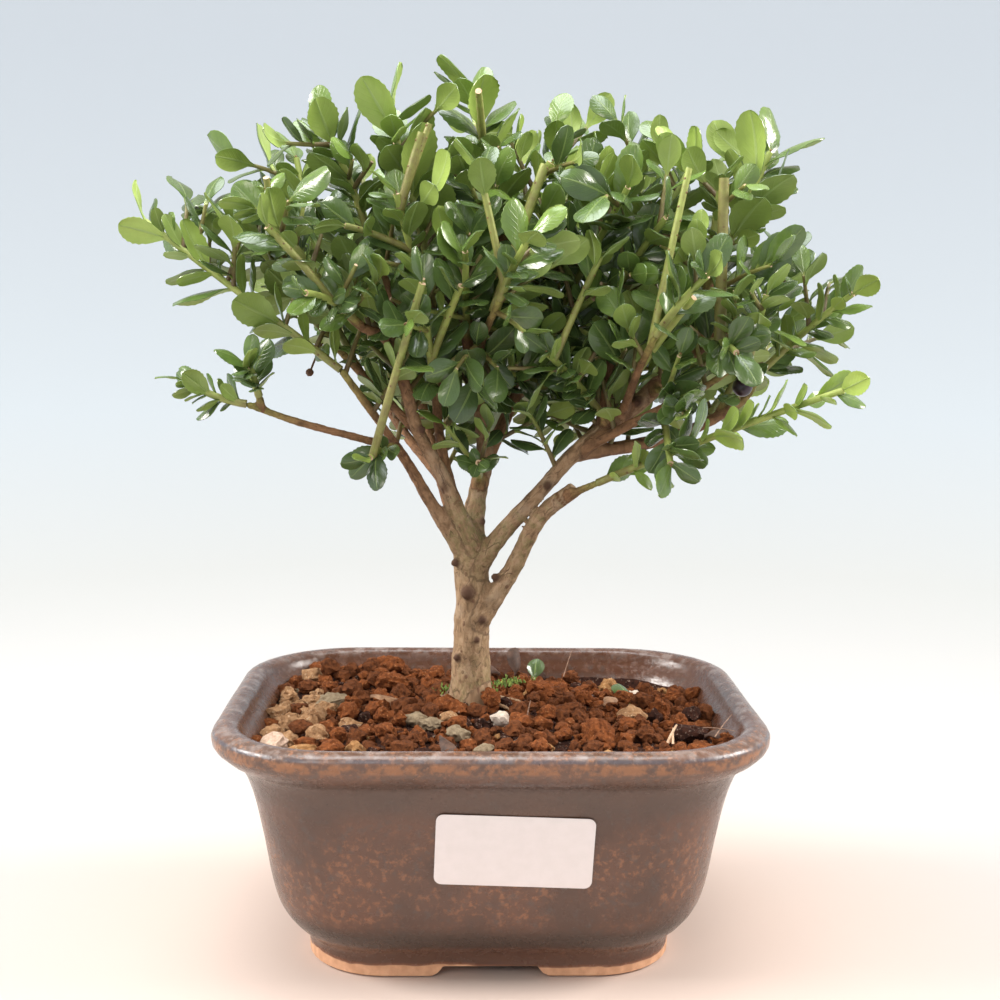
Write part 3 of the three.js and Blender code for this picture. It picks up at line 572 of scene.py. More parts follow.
def tube(points, radii, sides):
    """A closed tapering tube: its points and faces, its rings turned as little as can be."""
    points = np.asarray(points, float)
    ahead = np.gradient(points, axis=0)
    ahead /= np.linalg.norm(ahead, axis=1)[:, None]
    side = np.array([1.0, 0, 0]) if abs(ahead[0][1]) > 0.9 else np.array([0, 1.0, 0])
    angles = np.arange(sides) / sides * 2 * math.pi
    rings = []
    for point, radius, direction in zip(points, radii, ahead):
        side = unit(side - direction * (side @ direction))
        other = np.cross(direction, side)
        circle = np.outer(np.cos(angles), side) + np.outer(np.sin(angles), other)
        rings.append(point + radius * circle)
    return shell(rings)


def ball(level):
    """The directions and faces of a ball of triangles."""
    shape = bmesh.new()
    bmesh.ops.create_icosphere(shape, subdivisions=level, radius=1)
    directions = np.array([vert.co for vert in shape.verts])
    faces = [[vert.index for vert in face.verts] for face in shape.faces]
    shape.free()
    return directions, faces


# Materials


class Finish:
    """A procedural Principled material, with short names for the nodes it is built from."""

    def __init__(self, name, **values):
        self.material = bpy.data.materials.new(name)
        self.material.use_nodes = True
        self.tree = self.material.node_tree
        self.shader = self.tree.nodes["Principled BSDF"]
        for socket, value in values.items():
            self.feed(self.shader.inputs[socket.replace("_", " ")], value)
        self.place = self.node("TexCoord").outputs["Object"]

    def feed(self, socket, value):
        if isinstance(value, bpy.types.NodeSocket):
            self.tree.links.new(value, socket)
        else:
            socket.default_value = value

    def node(self, kind, inputs=None, **settings):
        node = self.tree.nodes.new("ShaderNode" + kind)
        for name, value in settings.items():
            setattr(node, name, value)
        for name, value in (inputs or {}).items():
            self.feed(node.inputs[name], value)
        return node

    def attribute(self, name, output="Fac"):
        return self.node("Attribute", attribute_name=name).outputs[output]

    def stretched(self, place, x, y, z):
        """A place scaled along its axes."""
        inputs = {0: place, 1: (x, y, z)}
        return self.node("VectorMath", inputs, operation="MULTIPLY").outputs["Vector"]

    def noise(self, size, detail=4, rough=0.55, place=None, warp=0.0):
        """Noise whose blotches are about as wide as size."""
        inputs = {
            "Vector": place or self.place, "Scale": 1 / (size * MM), "Detail": detail,
            "Roughness": rough, "Distortion": warp,
        }
        return self.node("TexNoise", inputs).outputs["Fac"]

    def cells(self, size, feature="F1", place=None):
        """The distance to the nearest of points spread about size apart."""
        inputs = {"Vector": place or self.place, "Scale": 1 / (size * MM)}
        return self.node("TexVoronoi", inputs, feature=feature).outputs["Distance"]

    def maths(self, operation, a, b=0.0):
        return self.node("Math", {0: a, 1: b}, operation=operation).outputs[0]

    def between(self, value, low, high):
        """0 below low and 1 above high, or the other way round where low is the greater."""
        inputs = {"Value": value, "From Min": low, "From Max": high}
        return self.node("MapRange", inputs, interpolation_type="SMOOTHSTEP").outputs["Result"]

    def zone(self, z, start, full, end, gone):
        """Heights in mm: 0 up to start, 1 from full to end and 0 from gone."""
        rise = self.between(z, start * MM, full * MM)
        return self.times(rise, self.between(z, gone * MM, end * MM))

    def times(self, *values):
        product = values[0]
        for value in values[1:]:
            product = self.maths("MULTIPLY", product, value)
        return product

    def plus(self, a, b):
        return self.maths("ADD", a, b)

    def minus(self, a, b):
        return self.maths("SUBTRACT", a, b)

    def ramp(self, value, *stops):
        """Colours along a value: each stop is a position and a colour."""
        node = self.node("ValToRGB", {"Fac": value})
        elements = node.color_ramp.elements
        elements[0].position, elements[1].position = stops[0][0], stops[-1][0]
        for position, _ in stops[1:-1]:
            elements.new(position)
        for element, (_, color) in zip(elements, stops):
            element.color = (*color, 1)
        return node.outputs["Color"]

    def mix(self, factor, a, b):
        node = self.node("Mix", data_type="RGBA")
        for socket, value in zip((node.inputs[0], node.inputs[6], node.inputs[7]), (factor, a, b)):
            self.feed(socket, (*value, 1) if isinstance(value, tuple) else value)
        return node.outputs[2]

    def layers(self, color, *rows):
        """Tints laid over a colour: each row is a tint and the masks that together let it show."""
        for tint, *masks in rows:
            color = self.mix(self.times(*masks), color, tint)
        return color

    def axis(self, place, letter):
        return self.node("SeparateXYZ", {0: place}).outputs[letter]

    def color(self, value):
        self.feed(self.shader.inputs["Base Color"], value)

    def rough(self, value):
        self.feed(self.shader.inputs["Roughness"], value)

    def relief(self, height, depth, strength=1.0):
        """Bump whose full height is depth."""
        inputs = {"Height": height, "Distance": depth * MM, "Strength": strength}
        self.feed(self.shader.inputs["Normal"], self.node("Bump", inputs).outputs["Normal"])


def glaze_finish():
    """Brown glaze, flecked with rust across the belly and the lip and greyer in the neck, with
    painted shade in the tucked-in waist, a painted highlight on the lip's crest, a blue-grey line
    round the lip's outer edge that is partly painted reflection, and bare clay at the foot."""
    f = Finish("brown_glaze", IOR=1.5, Coat_Weight=0.12, Coat_Roughness=0.18)
    z = f.axis(f.place, "Z")
    broad = f.noise(15, 3, 0.5)
    ground = f.ramp(broad, (0.38, (0.072, 0.037, 0.025)), (0.62, (0.108, 0.05, 0.031)))
    belly = f.zone(z, 13, 22, 36, 52)
    inside = f.attribute("tone")
    outside = f.minus(1.0, inside)
    lip = f.times(f.between(z, 0.06, 0.064), outside)
    rusty = f.maths("MAXIMUM", f.times(belly, f.between(broad, 0.34, 0.56)), lip)
    flecks = f.between(f.noise(1.7, 6, 0.68), 0.5, 0.63)
    grey = f.between(f.noise(2.6, 5, 0.6), 0.54, 0.66)
    band = f.times(f.zone(z, 63, 64.2, 65.6, 66.8), outside)
    # line: a thin blue-grey line round the lip's outer edge, partly the glaze's own colour and
    # partly painted reflection
    line = f.times(f.zone(z, 66.4, 66.8, 67.2, 67.7), outside)
    # crest: pale streaks along the top of the lip, a painted highlight
    crest = f.times(f.between(z, 0.0662, 0.0682), f.between(f.noise(4, 3), 0.46, 0.66))
    pits = f.between(f.cells(7), 0.045, 0.025)
    edge = f.plus(z, f.times(f.minus(f.noise(16, 3), 0.5), 0.004))
    rim_line = f.between(edge, (CLAY_LINE + 1.0) * MM, (CLAY_LINE + 0.1) * MM)
    body = f.layers(
        ground,
        ((0.078, 0.032, 0.019), inside, 0.75),
        ((0.245, 0.105, 0.05), flecks, rusty, 0.78),
        ((0.2, 0.085, 0.045), flecks, inside, 0.25),
        ((0.072, 0.06, 0.055), grey, 0.45),
        ((0.068, 0.044, 0.034), f.zone(z, 46, 53, 58.5, 61.5), 0.6),
        # A dark band round the tucked-in waist under the belly: painted shade
        ((0.036, 0.022, 0.015), f.zone(z, 8.5, 11, 13.5, 18.5), 0.85),
        ((0.092, 0.044, 0.028), f.between(z, 0.0105, 0.0085), 0.8),
        ((0.235, 0.15, 0.11), lip, 0.12),
        ((0.3, 0.125, 0.052), band, f.between(f.noise(3.5, 5), 0.4, 0.58), 0.75),
        # The blue-grey line at the lip's edge: partly the glaze's own colour, partly painted
        # reflection
        ((0.062, 0.06, 0.074), line, f.between(f.noise(5, 3), 0.36, 0.52), 0.7),
        # The crest's pale streaks: a painted highlight
        ((0.3, 0.25, 0.23), crest, 0.45),
        ((0.018, 0.013, 0.012), pits, 0.85),
        ((0.24, 0.095, 0.05), rim_line, 0.6),
    )
    clay_mask = f.between(edge, (CLAY_LINE + 0.15) * MM, (CLAY_LINE - 0.15) * MM)
    clay = f.ramp(f.noise(2.5, 6), (0.35, (0.49, 0.26, 0.145)), (0.65, (0.65, 0.37, 0.22)))
    f.color(f.mix(clay_mask, body, clay))
    gloss = f.ramp(f.noise(3, 5), (0.3, (0.19,) * 3), (0.7, (0.32,) * 3))
    f.rough(f.mix(clay_mask, gloss, (0.85, 0.85, 0.85)))
    f.relief(f.plus(f.times(f.noise(2.2, 4), 0.7), f.times(flecks, 0.3)), 0.1)
    return f.material


def grain_finish(name, dark, light, speck=None):
    """A crumbly granule, mottled from dark to light by noise."""
    f = Finish(name, Roughness=0.95, Specular_IOR_Level=0.15)
    color = f.ramp(f.noise(1.3, 8, 0.7), (0.34, dark), (0.62, light))
    if speck:
        color = f.mix(f.between(f.noise(0.7, 3), 0.6, 0.68), color, speck)
    f.color(color)
    f.relief(f.noise(0.7, 8, 0.8), 0.5)
    return f.material


def bark_finish():
    """Buff bark on the trunk, brown on the twigs and green on last year's wood, with fine cracks
    along the limb, dark lenticels, scars, algae and pale cut ends."""
    f = Finish("bark", Roughness=0.82, Specular_IOR_Level=0.35)
    grain = f.attribute("grain", "Vector")
    youth = f.attribute("youth")
    streaks = f.noise(1.5, 8, 0.68, place=f.stretched(grain, 1, 1, 0.55), warp=0.5)
    old = f.ramp(
        streaks, (0.32, (0.135, 0.076, 0.04)), (0.48, (0.285, 0.176, 0.097)),
        (0.66, (0.4, 0.27, 0.163)),
    )
    twig = f.ramp(streaks, (0.32, (0.1, 0.046, 0.022)), (0.64, (0.29, 0.15, 0.072)))
    green = f.ramp(streaks, (0.34, (0.15, 0.125, 0.035)), (0.64, (0.33, 0.32, 0.085)))
    crack = f.between(f.cells(1.5, "DISTANCE_TO_EDGE", f.stretched(grain, 1, 1, 0.3)), 0.06, 0.0)
    crack = f.times(crack, f.between(f.noise(3, 4), 0.5, 0.62))
    dots = f.between(f.cells(3.6, place=f.stretched(grain, 1, 1, 0.8)), 0.17, 0.12)
    f.color(f.layers(
        old,
        ((0.43, 0.32, 0.22), f.between(f.noise(8, 4), 0.5, 0.66), 0.4),
        (twig, f.between(youth, 0.12, 0.45)),
        (green, f.between(youth, 0.62, 0.9)),
        ((0.07, 0.038, 0.022), crack, 0.65),
        ((0.13, 0.058, 0.034), dots, 0.75),
        ((0.09, 0.05, 0.03), f.between(f.cells(1.2), 0.16, 0.1), 0.45),
        ((0.18, 0.185, 0.06), f.attribute("algae"), f.between(f.noise(1.8, 6, 0.7), 0.4, 0.6), 0.8),
        ((0.075, 0.034, 0.02), f.attribute("scar"), 0.95),
        ((0.62, 0.43, 0.28), f.attribute("cut")),
    ))
    height = f.minus(streaks, f.times(crack, 0.5))
    f.relief(f.plus(height, f.times(dots, 0.35)), 0.4, 0.9)
    return f.material


def leaf_finish(name, tones, rib, vein, gloss):
    """A leaf's face: its green goes by tone, with a rib, side veins and a paler margin."""
    f = Finish(name, Roughness=gloss, Specular_IOR_Level=0.65)
    place = f.node("UVMap", uv_map="Place").outputs["UV"]
    blotch = f.times(f.minus(f.noise(3.2, 4), 0.5), 0.35)
    color = f.ramp(f.plus(f.attribute("tone"), blotch), *tones)
    off = f.maths("ABSOLUTE", f.minus(f.axis(place, "X"), 0.5))
    v = f.axis(place, "Y")
    slanted = f.minus(f.times(v, 8.5), f.times(off, 5.5))
    wave = f.maths("ABSOLUTE", f.minus(f.maths("FRACT", slanted), 0.5))
    veins = f.times(f.between(wave, 0.13, 0.02), f.between(off, 0.46, 0.3))
    width = f.plus(0.02, f.times(f.between(v, 0.9, 0.0), 0.035))
    middle = f.between(f.minus(off, width), 0.012, 0.0)
    f.color(f.layers(
        color,
        (rib, veins, vein),
        (rib, f.between(off, 0.465, 0.5), 0.08),
        (rib, middle, 0.8),
        ((0.3, 0.36, 0.085), f.between(v, 0.17, 0.05), 0.8),
    ))
    relief = f.plus(f.times(veins, 0.4), f.times(f.noise(1.6, 3), 0.5))
    f.relief(f.plus(relief, middle), 0.12, 0.7)
    return f.material


def stem_finish():
    f = Finish("green_stem", Roughness=0.5)
    blotch = f.times(f.minus(f.noise(2.0, 4), 0.5), 0.5)
    color = f.ramp(
        f.plus(f.attribute("tone"), blotch), (0.0, (0.12, 0.075, 0.03)),
        (0.35, (0.22, 0.2, 0.06)), (0.6, (0.31, 0.36, 0.085)), (1.0, (0.42, 0.5, 0.13)),
    )
    f.color(f.mix(f.between(f.cells(3.1), 0.14, 0.08), color, (0.14, 0.075, 0.03)))
    f.relief(f.noise(0.7, 4), 0.1)
    return f.material


def plain_finish(name, gloss, pattern, dark, light, fine=None):
    """A colour that wanders from dark to light with one noise, and a relief with a finer one."""
    f = Finish(name, Roughness=gloss)
    f.color(f.ramp(f.noise(*pattern), dark, light))
    if fine:
        size, detail, depth = fine
        f.relief(f.noise(size, detail), depth)
    return f.material


def cut_finish():
    dark, light = (0.3, (0.5, 0.32, 0.19)), (0.7, (0.7, 0.52, 0.36))
    return plain_finish("cut_wood", 0.8, (0.7, 4), dark, light)


def fruit_finish(name, dark, light, gloss):
    return plain_finish(name, gloss, (1.4, 5), (0.35, dark), (0.7, light), (0.6, 4, 0.05))


def dead_leaf_finish(name, dark, light):
    pattern = (2.0, 6, 0.65)
    return plain_finish(name, 0.7, pattern, (0.32, dark), (0.66, light), (0.9, 5, 0.15))


# Pot


def smooth_profile(points, steps):
    """A curve through profile points, with a number of steps to each span."""
    path = np.array([(z, half, 0, 0) for z, half in points], float)
    count = (len(path) - 1) * steps
    return [along(path, i / count)[0][:2] for i in range(count + 1)]


def rounded_ring(z, half_width, half_depth, corner, corner_steps=10, front_steps=36, side_steps=10):
    """A rounded rectangle at a height, anticlockwise from the right side's far end."""
    ring = []
    signs = np.array([(1, 1), (-1, 1), (-1, -1), (1, -1)])
    middles = signs * (half_width - corner, half_depth - corner)
    for quarter, steps in enumerate((front_steps, side_steps) * 2):
        for step in range(corner_steps + 1):
            angle = (quarter + step / corner_steps) * math.pi / 2
            spoke = corner * np.array([math.cos(angle), math.sin(angle)])
            ring.append(middles[quarter] + spoke)
        start, end = middles[quarter] + spoke, middles[(quarter + 1) % 4] + spoke
        ring += [start + (end - start) * step / steps for step in range(1, steps)]
    ring = np.array(ring)
    return np.column_stack([ring, np.full(len(ring), z)])


def pot_plan(half_width):
    """The pot's half depth and corner radius where it has this half width."""
    share = (half_width - FOOT_HALF) / (POT_HALF - FOOT_HALF)
    half_depth = FOOT_HALF_DEPTH + share * (POT_HALF_DEPTH - FOOT_HALF_DEPTH)
    return half_depth, FOOT_CORNER + share * (RIM_CORNER - FOOT_CORNER)


def pot_ring(z, half_width, inset=0.0):
    half_depth, corner = pot_plan(half_width)
    return rounded_ring(z, half_width - inset, half_depth - inset, corner - inset)


def wall_depth(z):
    """How far the front wall stands from the middle of the pot at a height."""
    return pot_plan(np.interp(z, *zip(*OUTER_SIDE)))[0]


def build_pot():
    under = [
        (FOOT_RECESS, FOOT_RING + 1.2), (FOOT_RECESS - 0.6, FOOT_RING + 0.3),
        (0.8, FOOT_RING - 0.2), (0.1, FOOT_RING - 1.2), (0, FOOT_RING - 2.5), (0, 2.2), (0.1, 0.8),
    ]
    rings = [pot_ring(z, FOOT_HALF, inset) for z, inset in under]
    profile = smooth_profile(OUTER_SIDE + INNER_SIDE, PROFILE_STEPS)
    rings += [pot_ring(max(z, 0.6), half) for z, half in profile]
    for ring in rings:
        arch = (NOTCH_HALF + NOTCH_SLOPE / 2 - np.abs(ring[:, 0])) / NOTCH_SLOPE
        arch = np.clip(arch, 0, 1)
        arch = NOTCH_HEIGHT * arch * arch * (3 - 2 * arch)
        ring[:, 2] = np.where(ring[:, 2] < FOOT_RECESS, np.maximum(ring[:, 2], arch), ring[:, 2])
    points, faces = shell(rings)
    for point in points:
        sway = noise.noise(Vector(point) * 0.035) * 0.25 + noise.noise(Vector(point) * 0.11) * 0.1
        if point[2] > FOOT_RECESS:
            point[:2] *= 1 + sway / max(np.linalg.norm(point[:2]), 1)
    crest = int(np.argmax([ring[0, 2] for ring in rings]))
    inside = (np.arange(len(points)) // len(rings[0]) > crest).astype(float)
    skin, drains = Skin(), Skin()
    skin.add(points, faces, tone=inside)
    pot = add_piece("pot_glazed", skin, [glaze_finish()], ["pot"], 40)
    for side in (-1, 1):
        ends = [(side * DRAIN_X, 0, z) for z in (-1, 20)]
        drains.add(*tube(ends, [DRAIN_RADIUS] * 2, 32))
    cutter = put("cutter", drains.mesh("cutter"))
    cut = pot.modifiers.new("drains", "BOOLEAN")
    cut.object = cutter
    cut.operation = "DIFFERENCE"
    settle_modifiers(pot)
    bpy.data.objects.remove(cutter)


def build_label():
    """A bare rounded sticker that follows the front wall."""
    w, h = LABEL["width"] / 2, LABEL["height"] / 2
    c, s = math.cos(LABEL["turn"]), math.sin(LABEL["turn"])
    rings = []
    for level, share in LABEL["levels"]:
        ring = rounded_ring(0, w * share, h * share, LABEL["corner"] * share, 6, 8, 6)
        x = ring[:, 0] * c + ring[:, 1] * s + LABEL["x"]
        z = -ring[:, 0] * s + ring[:, 1] * c + LABEL["z"]
        rings.append(np.column_stack([x, -wall_depth(z) - level, z]))
    skin = Skin()
    skin.add(*shell(rings))
    dark, light = (0.3, (0.7, 0.65, 0.64)), (0.7, (0.74, 0.685, 0.68))
    paper = plain_finish("bare_label", 0.45, (3, 3), dark, light, (0.5, 4, 0.01))
    add_piece("label_sticker", skin, [paper], ["label"])


# Soil


def soil_height(x, y):
    out = np.minimum(np.maximum(np.abs(x) / SOIL_HALF[0], np.abs(y) / SOIL_HALF[1]), 1)
    height = SOIL_MIDDLE + (SOIL_EDGE - SOIL_MIDDLE) * out**2
    for rise, at_x, at_y, wide, deep in SOIL_MOUNDS:
        height = height + rise * np.exp(-(((x - at_x) / wide) ** 2) - ((y - at_y) / deep) ** 2)
    return height


def wall_room(x, y, z):
    """The distance from a place in the pot to its inner wall."""
    half = np.interp(z, [58, 65, 67.9], [63, 67.2, 69])
    half_depth, corner = pot_plan(half)
    dx = np.maximum(np.abs(x) - half + corner, 0)
    dy = np.maximum(np.abs(y) - half_depth + corner, 0)
    edge = np.minimum(half - np.abs(x), half_depth - np.abs(y))
    return np.where((dx > 0) & (dy > 0), corner - np.hypot(dx, dy), edge)


# The kinds of grain, each by its name, dark colour, light colour and, for some, its specks
RED, BROWN, OCHRE, TAN, PINK, OLIVE, WHITE, DARK = range(8)
SOIL_KINDS = [
    ("akadama_red", (0.06, 0.017, 0.006), (0.238, 0.073, 0.021), (0.33, 0.14, 0.056)),
    ("akadama_brown", (0.042, 0.014, 0.006), (0.175, 0.058, 0.02)),
    ("ochre_stone", (0.22, 0.1, 0.036), (0.43, 0.23, 0.095), (0.53, 0.37, 0.21)),
    ("tan_stone", (0.2, 0.1, 0.045), (0.43, 0.25, 0.13), (0.55, 0.39, 0.25)),
    ("pink_stone", (0.42, 0.28, 0.2), (0.7, 0.52, 0.41)),
    ("olive_pebble", (0.16, 0.115, 0.07), (0.3, 0.235, 0.155)),
    ("white_pebble", (0.5, 0.4, 0.32), (0.74, 0.64, 0.55)),
    ("humus_lump", (0.012, 0.006, 0.005), (0.055, 0.02, 0.012), (0.25, 0.18, 0.14)),
]
# How often each kind is drawn
SOIL_ODDS = {
    RED: 0.485, BROWN: 0.425, OCHRE: 0.022, TAN: 0.006, OLIVE: 0.008, DARK: 0.053, WHITE: 0.001,
}
# Stones and lumps that the photograph shows: x, y, radius, flatness and kind
STONES = [
    (-59, -30, 3.9, 0.8, PINK), (-51, -38, 3.8, 0.55, OCHRE), (-36, -38, 2.9, 0.8, OCHRE),
    (-24, -36, 2.8, 0.9, BROWN), (-62, 4, 3.0, 0.8, TAN), (-61, 22, 3.4, 0.7, TAN),
    (-55, 36, 3.2, 0.8, TAN), (-57, -8, 3.0, 0.8, TAN), (-60, -19, 3.1, 0.75, TAN),
    (-48, -22, 2.9, 0.8, TAN), (-47, 11, 3.6, 0.45, OLIVE), (-17, -18, 2.9, 0.6, OLIVE),
    (-9, -26, 3.0, 0.7, OLIVE), (-11.7, -15, 2.3, 0.7, TAN), (2.9, -15, 2.5, 0.85, WHITE),
    (22, -3.5, 3.9, 0.7, BROWN), (41, -5, 3.8, 0.7, TAN), (56, -20, 5.0, 0.7, DARK),
    (30, -26, 4.4, 0.8, RED), (12, -36, 3.0, 0.8, RED), (-2, -38, 2.4, 0.6, OLIVE),
    (50, 4, 3.2, 0.9, RED), (-34, 44, 3.6, 0.9, RED), (-30, 24, 4.6, 0.7, RED),
]
GRANULES = 640
GRIT = 1150
GRIT_RADIUS = (0.5, 1.1)
TRUNK_CLEAR = 5.6
PILE_HEIGHT = 1.7
FINE_RADIUS = 2.0
# A lump's roughness: how close the waves of each noise stand and how deep they are
LUMP_WAVES = ((1.8, 0.24), (4.2, 0.22), (9, 0.12))


def rest_height(x, y, radius, lying):
    """The height at which a granule comes to rest on the soil's bed or on those lying there."""
    rest = soil_height(x, y) - 3.4 + 0.75 * radius
    others = np.array(lying)
    reach = (others[:, 3] + radius) * 0.86
    flat = (others[:, 0] - x) ** 2 + (others[:, 1] - y) ** 2
    touching = flat < reach**2
    if touching.any():
        heights = others[touching, 2] + np.sqrt(reach[touching] ** 2 - flat[touching])
        rest = max(rest, heights.max())
    return rest


def scatter(rng):
    """Granules as x, y, z, radius, flatness and kind, dropped one by one into the lowest of a few
    places: first the photograph's stones, then large ones, then grit."""
    lying = [(x, y, soil_height(x, y) - 0.5, *stone) for x, y, *stone in STONES]
    for i in range(GRANULES + GRIT):
        grit = i >= GRANULES
        radius = rng.uniform(*GRIT_RADIUS) if grit else GRIT_RADIUS[1] + 2.0 * rng.random() ** 1.7
        best = None
        for _ in range(10 if grit else 16):
            x, y = rng.uniform(-67, 67), rng.uniform(-53, 53)
            from_trunk = np.hypot(x - TRUNK_X, y) - radius * 0.6
            if wall_room(x, y, 64) < radius * 0.95 or from_trunk < TRUNK_CLEAR:
                continue
            z = rest_height(x, y, radius, lying)
            depth = z - soil_height(x, y)
            if best is None or depth < best[0]:
                best = (depth, x, y, z)
        if best and best[0] < PILE_HEIGHT:
            _, x, y, z = best
            kind = rng.choice(list(SOIL_ODDS), p=list(SOIL_ODDS.values()))
            if x < -50 and rng.random() < 0.32:
                kind = TAN
            if radius < 1.5 and np.hypot(x - 6, y + 8) < 15 and rng.random() < 0.6:
                kind = DARK
            lying.append((x, y, z, radius, rng.uniform(0.72, 1.0), kind))
    return lying


def lump(rng, directions, radius, flat):
    """A rough stone: a ball cut by a few planes, pitted by noise, flattened and turned."""
    normals = rng.normal(size=(9, 3))
    normals /= np.linalg.norm(normals, axis=1)[:, None]
    reach = np.maximum(directions @ normals.T, 0.05)
    size = np.minimum(1.12, (rng.uniform(0.66, 0.98, 9) / reach).min(1))
    seed = Vector(rng.uniform(-50, 50, 3))
    pits = [
        sum(noise.noise(Vector(d) * pace + seed) * depth for pace, depth in LUMP_WAVES)
        for d in directions
    ]
    points = directions * (size * (1 + np.array(pits)))[:, None] * radius
    points *= (rng.uniform(1.0, 1.22), rng.uniform(0.86, 1.0), flat)
    turn = Matrix.Rotation(rng.uniform(0, 6.28), 3, "Z")
    turn = turn @ Matrix.Rotation(rng.normal() * 0.35, 3, "X")
    return points @ np.array(turn).T


def build_granules():
    rng = np.random.default_rng(7)
    fine, rough = ball(3), ball(2)
    finishes = [grain_finish(*kind) for kind in SOIL_KINDS]
    granules, grit = Skin(), Skin()
    for x, y, z, radius, flat, kind in scatter(rng):
        skin, (directions, faces) = (granules, fine) if radius > FINE_RADIUS else (grit, rough)
        skin.add(lump(rng, directions, radius, flat) + (x, y, z), faces, int(kind))
    for name, skin in (("soil_granules", granules), ("soil_grit", grit)):
        add_piece(name, skin, finishes, sharp=27)
    return finishes


def build_bed(finishes):
    """The body of the soil, down to the pot's floor, in the humus lumps' dark colour, which paints
    shade into the gaps between the granules.
    """
    rings = [pot_ring(z, half, 0.4) for z, half in BED_WALL]
    edge = rings[-1]
    for share in (0.99, 0.93, 0.85, 0.75, 0.64, 0.52, 0.4, 0.28, 0.17, 0.12):
        ring = edge * (share, share, 1) + (TRUNK_X * (1 - share), 0, 0)
        rough = [noise.noise(Vector(point) * 0.35) * 0.8 for point in ring]
        ring[:, 2] = soil_height(ring[:, 0], ring[:, 1]) - BED_DEPTH + rough
        rings.append(ring)
    skin = Skin()
    # The bed takes the humus lumps' dark colour: painted shade in the gaps between the granules
    skin.add(*shell(rings), DARK)
    add_piece("soil_bed", skin, finishes, ["soil"])


# Wood


def path_length(path):
    return np.linalg.norm(np.diff(path[:, :3], axis=0), axis=1).sum()


# How young the bark is at a limb's foot and at its end, from 0 to 1
YOUTH = {
    "trunk": (0, 0), "left": (0.05, 0.75), "leftLow": (0.1, 0.8), "right": (0.0, 0.45),
    "lowRight": (0.0, 0.1), "middle": (0.05, 0.75), "rightUp": (0.5, 0.95),
}
YOUTH_ELSEWHERE = (0.35, 0.85)

# Marks on the bark: x, y, z, radius and how far they stand out
SCARS = [
    (-6.6, -5.4, 99.3, 2.2, 0.5), (-2.5, -4.6, 91.2, 1.3, 0.3), (-10.3, -4.2, 107.5, 1.2, 0.3),
    (-13, -8, 129.5, 1.5, 0.5), (-2.5, -0.5, 118.8, 1.2, 0.4), (15.5, -7, 130.0, 1.3, 0.4),
    (1.1, -4, 103.4, 1.4, 0.1), (-9.5, -4.0, 80, 1.2, 0.3), (-4.0, -5.2, 85.5, 0.9, 0.2),
    (-19.5, -14, 146, 1.2, 0.5), (40, -10.5, 154, 1.6, 0.6), (52, -10.5, 166, 1.5, 0.7),
]

# Roots that show at the trunk's foot: heading in degrees, reach and radius
ROOTS = [(10, 13, 1.2), (75, 10, 1.1), (150, 11, 1.2), (325, 12, 1.1)]
ROOT_SINK = 1.2
BARK_VOXEL = 0.66


def wood_skin():
    """Limbs, spurs and roots as tubes, and the stations that they go through."""
    skin = Skin()
    stations = []

    def add(points, radii, sides, youth, run, cut=0.0):
        skin.add(*tube(points, radii, sides))
        stations.append((points, radii, youth, run, cut))

    for name, path in LIMBS.items():
        length = path_length(path)
        shares = np.linspace(0, 1, max(int(length / 1.4), 6) + 1)
        found = [along(path, share) for share in shares]
        points = np.array([point for point, _ in found])
        radii = np.array([radius for _, radius in found]) + 0.05
        run = shares * length
        if name == "trunk":
            flare = np.exp(-np.maximum(points[:, 2] - 64.5, 0) / 3.0) * (points[:, 2] > 60)
            radii = radii + 0.25 * flare
        else:
            radii = radii * (1 + 0.16 * np.exp(-run / (2.0 * radii)))
            knots = np.sin(run / 7.5 * 2 * math.pi + len(stations)) ** 8
            radii = radii * (1 + 0.08 * knots)
        old, young = YOUTH.get(name, YOUTH_ELSEWHERE)
        youth = old + (young - old) * shares
        add(points, radii, 18 if radii.max() > 3 else 12, youth, run, float(name == "lowRight"))
    for limb, share, tip, _, _, bow in SHOOTS:
        if share < 1:
            stem = Stem(along(LIMBS[limb], share)[0], tip, bow)
            points = stem.points(0, wood_share(limb, share, stem), 6)
            radii, youth = np.linspace(1.35, 0.98, 6), np.linspace(0.6, 0.85, 6)
            add(points, radii, 10, youth, np.linspace(0, 6, 6))
    trunk_foot = np.array([TRUNK_X, 0, float(soil_height(TRUNK_X, 0)) - ROOT_SINK])
    for turn, reach, radius in ROOTS:
        heading = np.array([math.cos(math.radians(turn)), math.sin(math.radians(turn)), 0])
        foot = trunk_foot + heading * 3.5
        end = foot + heading * reach
        end[2] = soil_height(end[0], end[1]) - ROOT_SINK
        points = Stem(foot, end, 0.6).points(0, 1, 8)
        add(points, np.linspace(radius, 0.5, 8), 10, np.full(8, 0.1), np.linspace(0, reach, 8))
    return skin, stations


def wood_facts(stations):
    """A tree of the stations' places, and each one's place, way ahead, radius, youth, length run
    and whether it is a cut end."""
    tree = KDTree(sum(len(places) for places, *_ in stations))
    facts = []
    for line, (places, radii, youth, run, cut) in enumerate(stations):
        ahead = np.gradient(places, axis=0)
        for i, place in enumerate(places):
            tree.insert(place, len(facts))
            end = cut if i == len(places) - 1 else 0.0
            facts.append((place, unit(ahead[i]), radii[i], youth[i], run[i] + 60 * line, end))
    tree.balance()
    return tree, facts


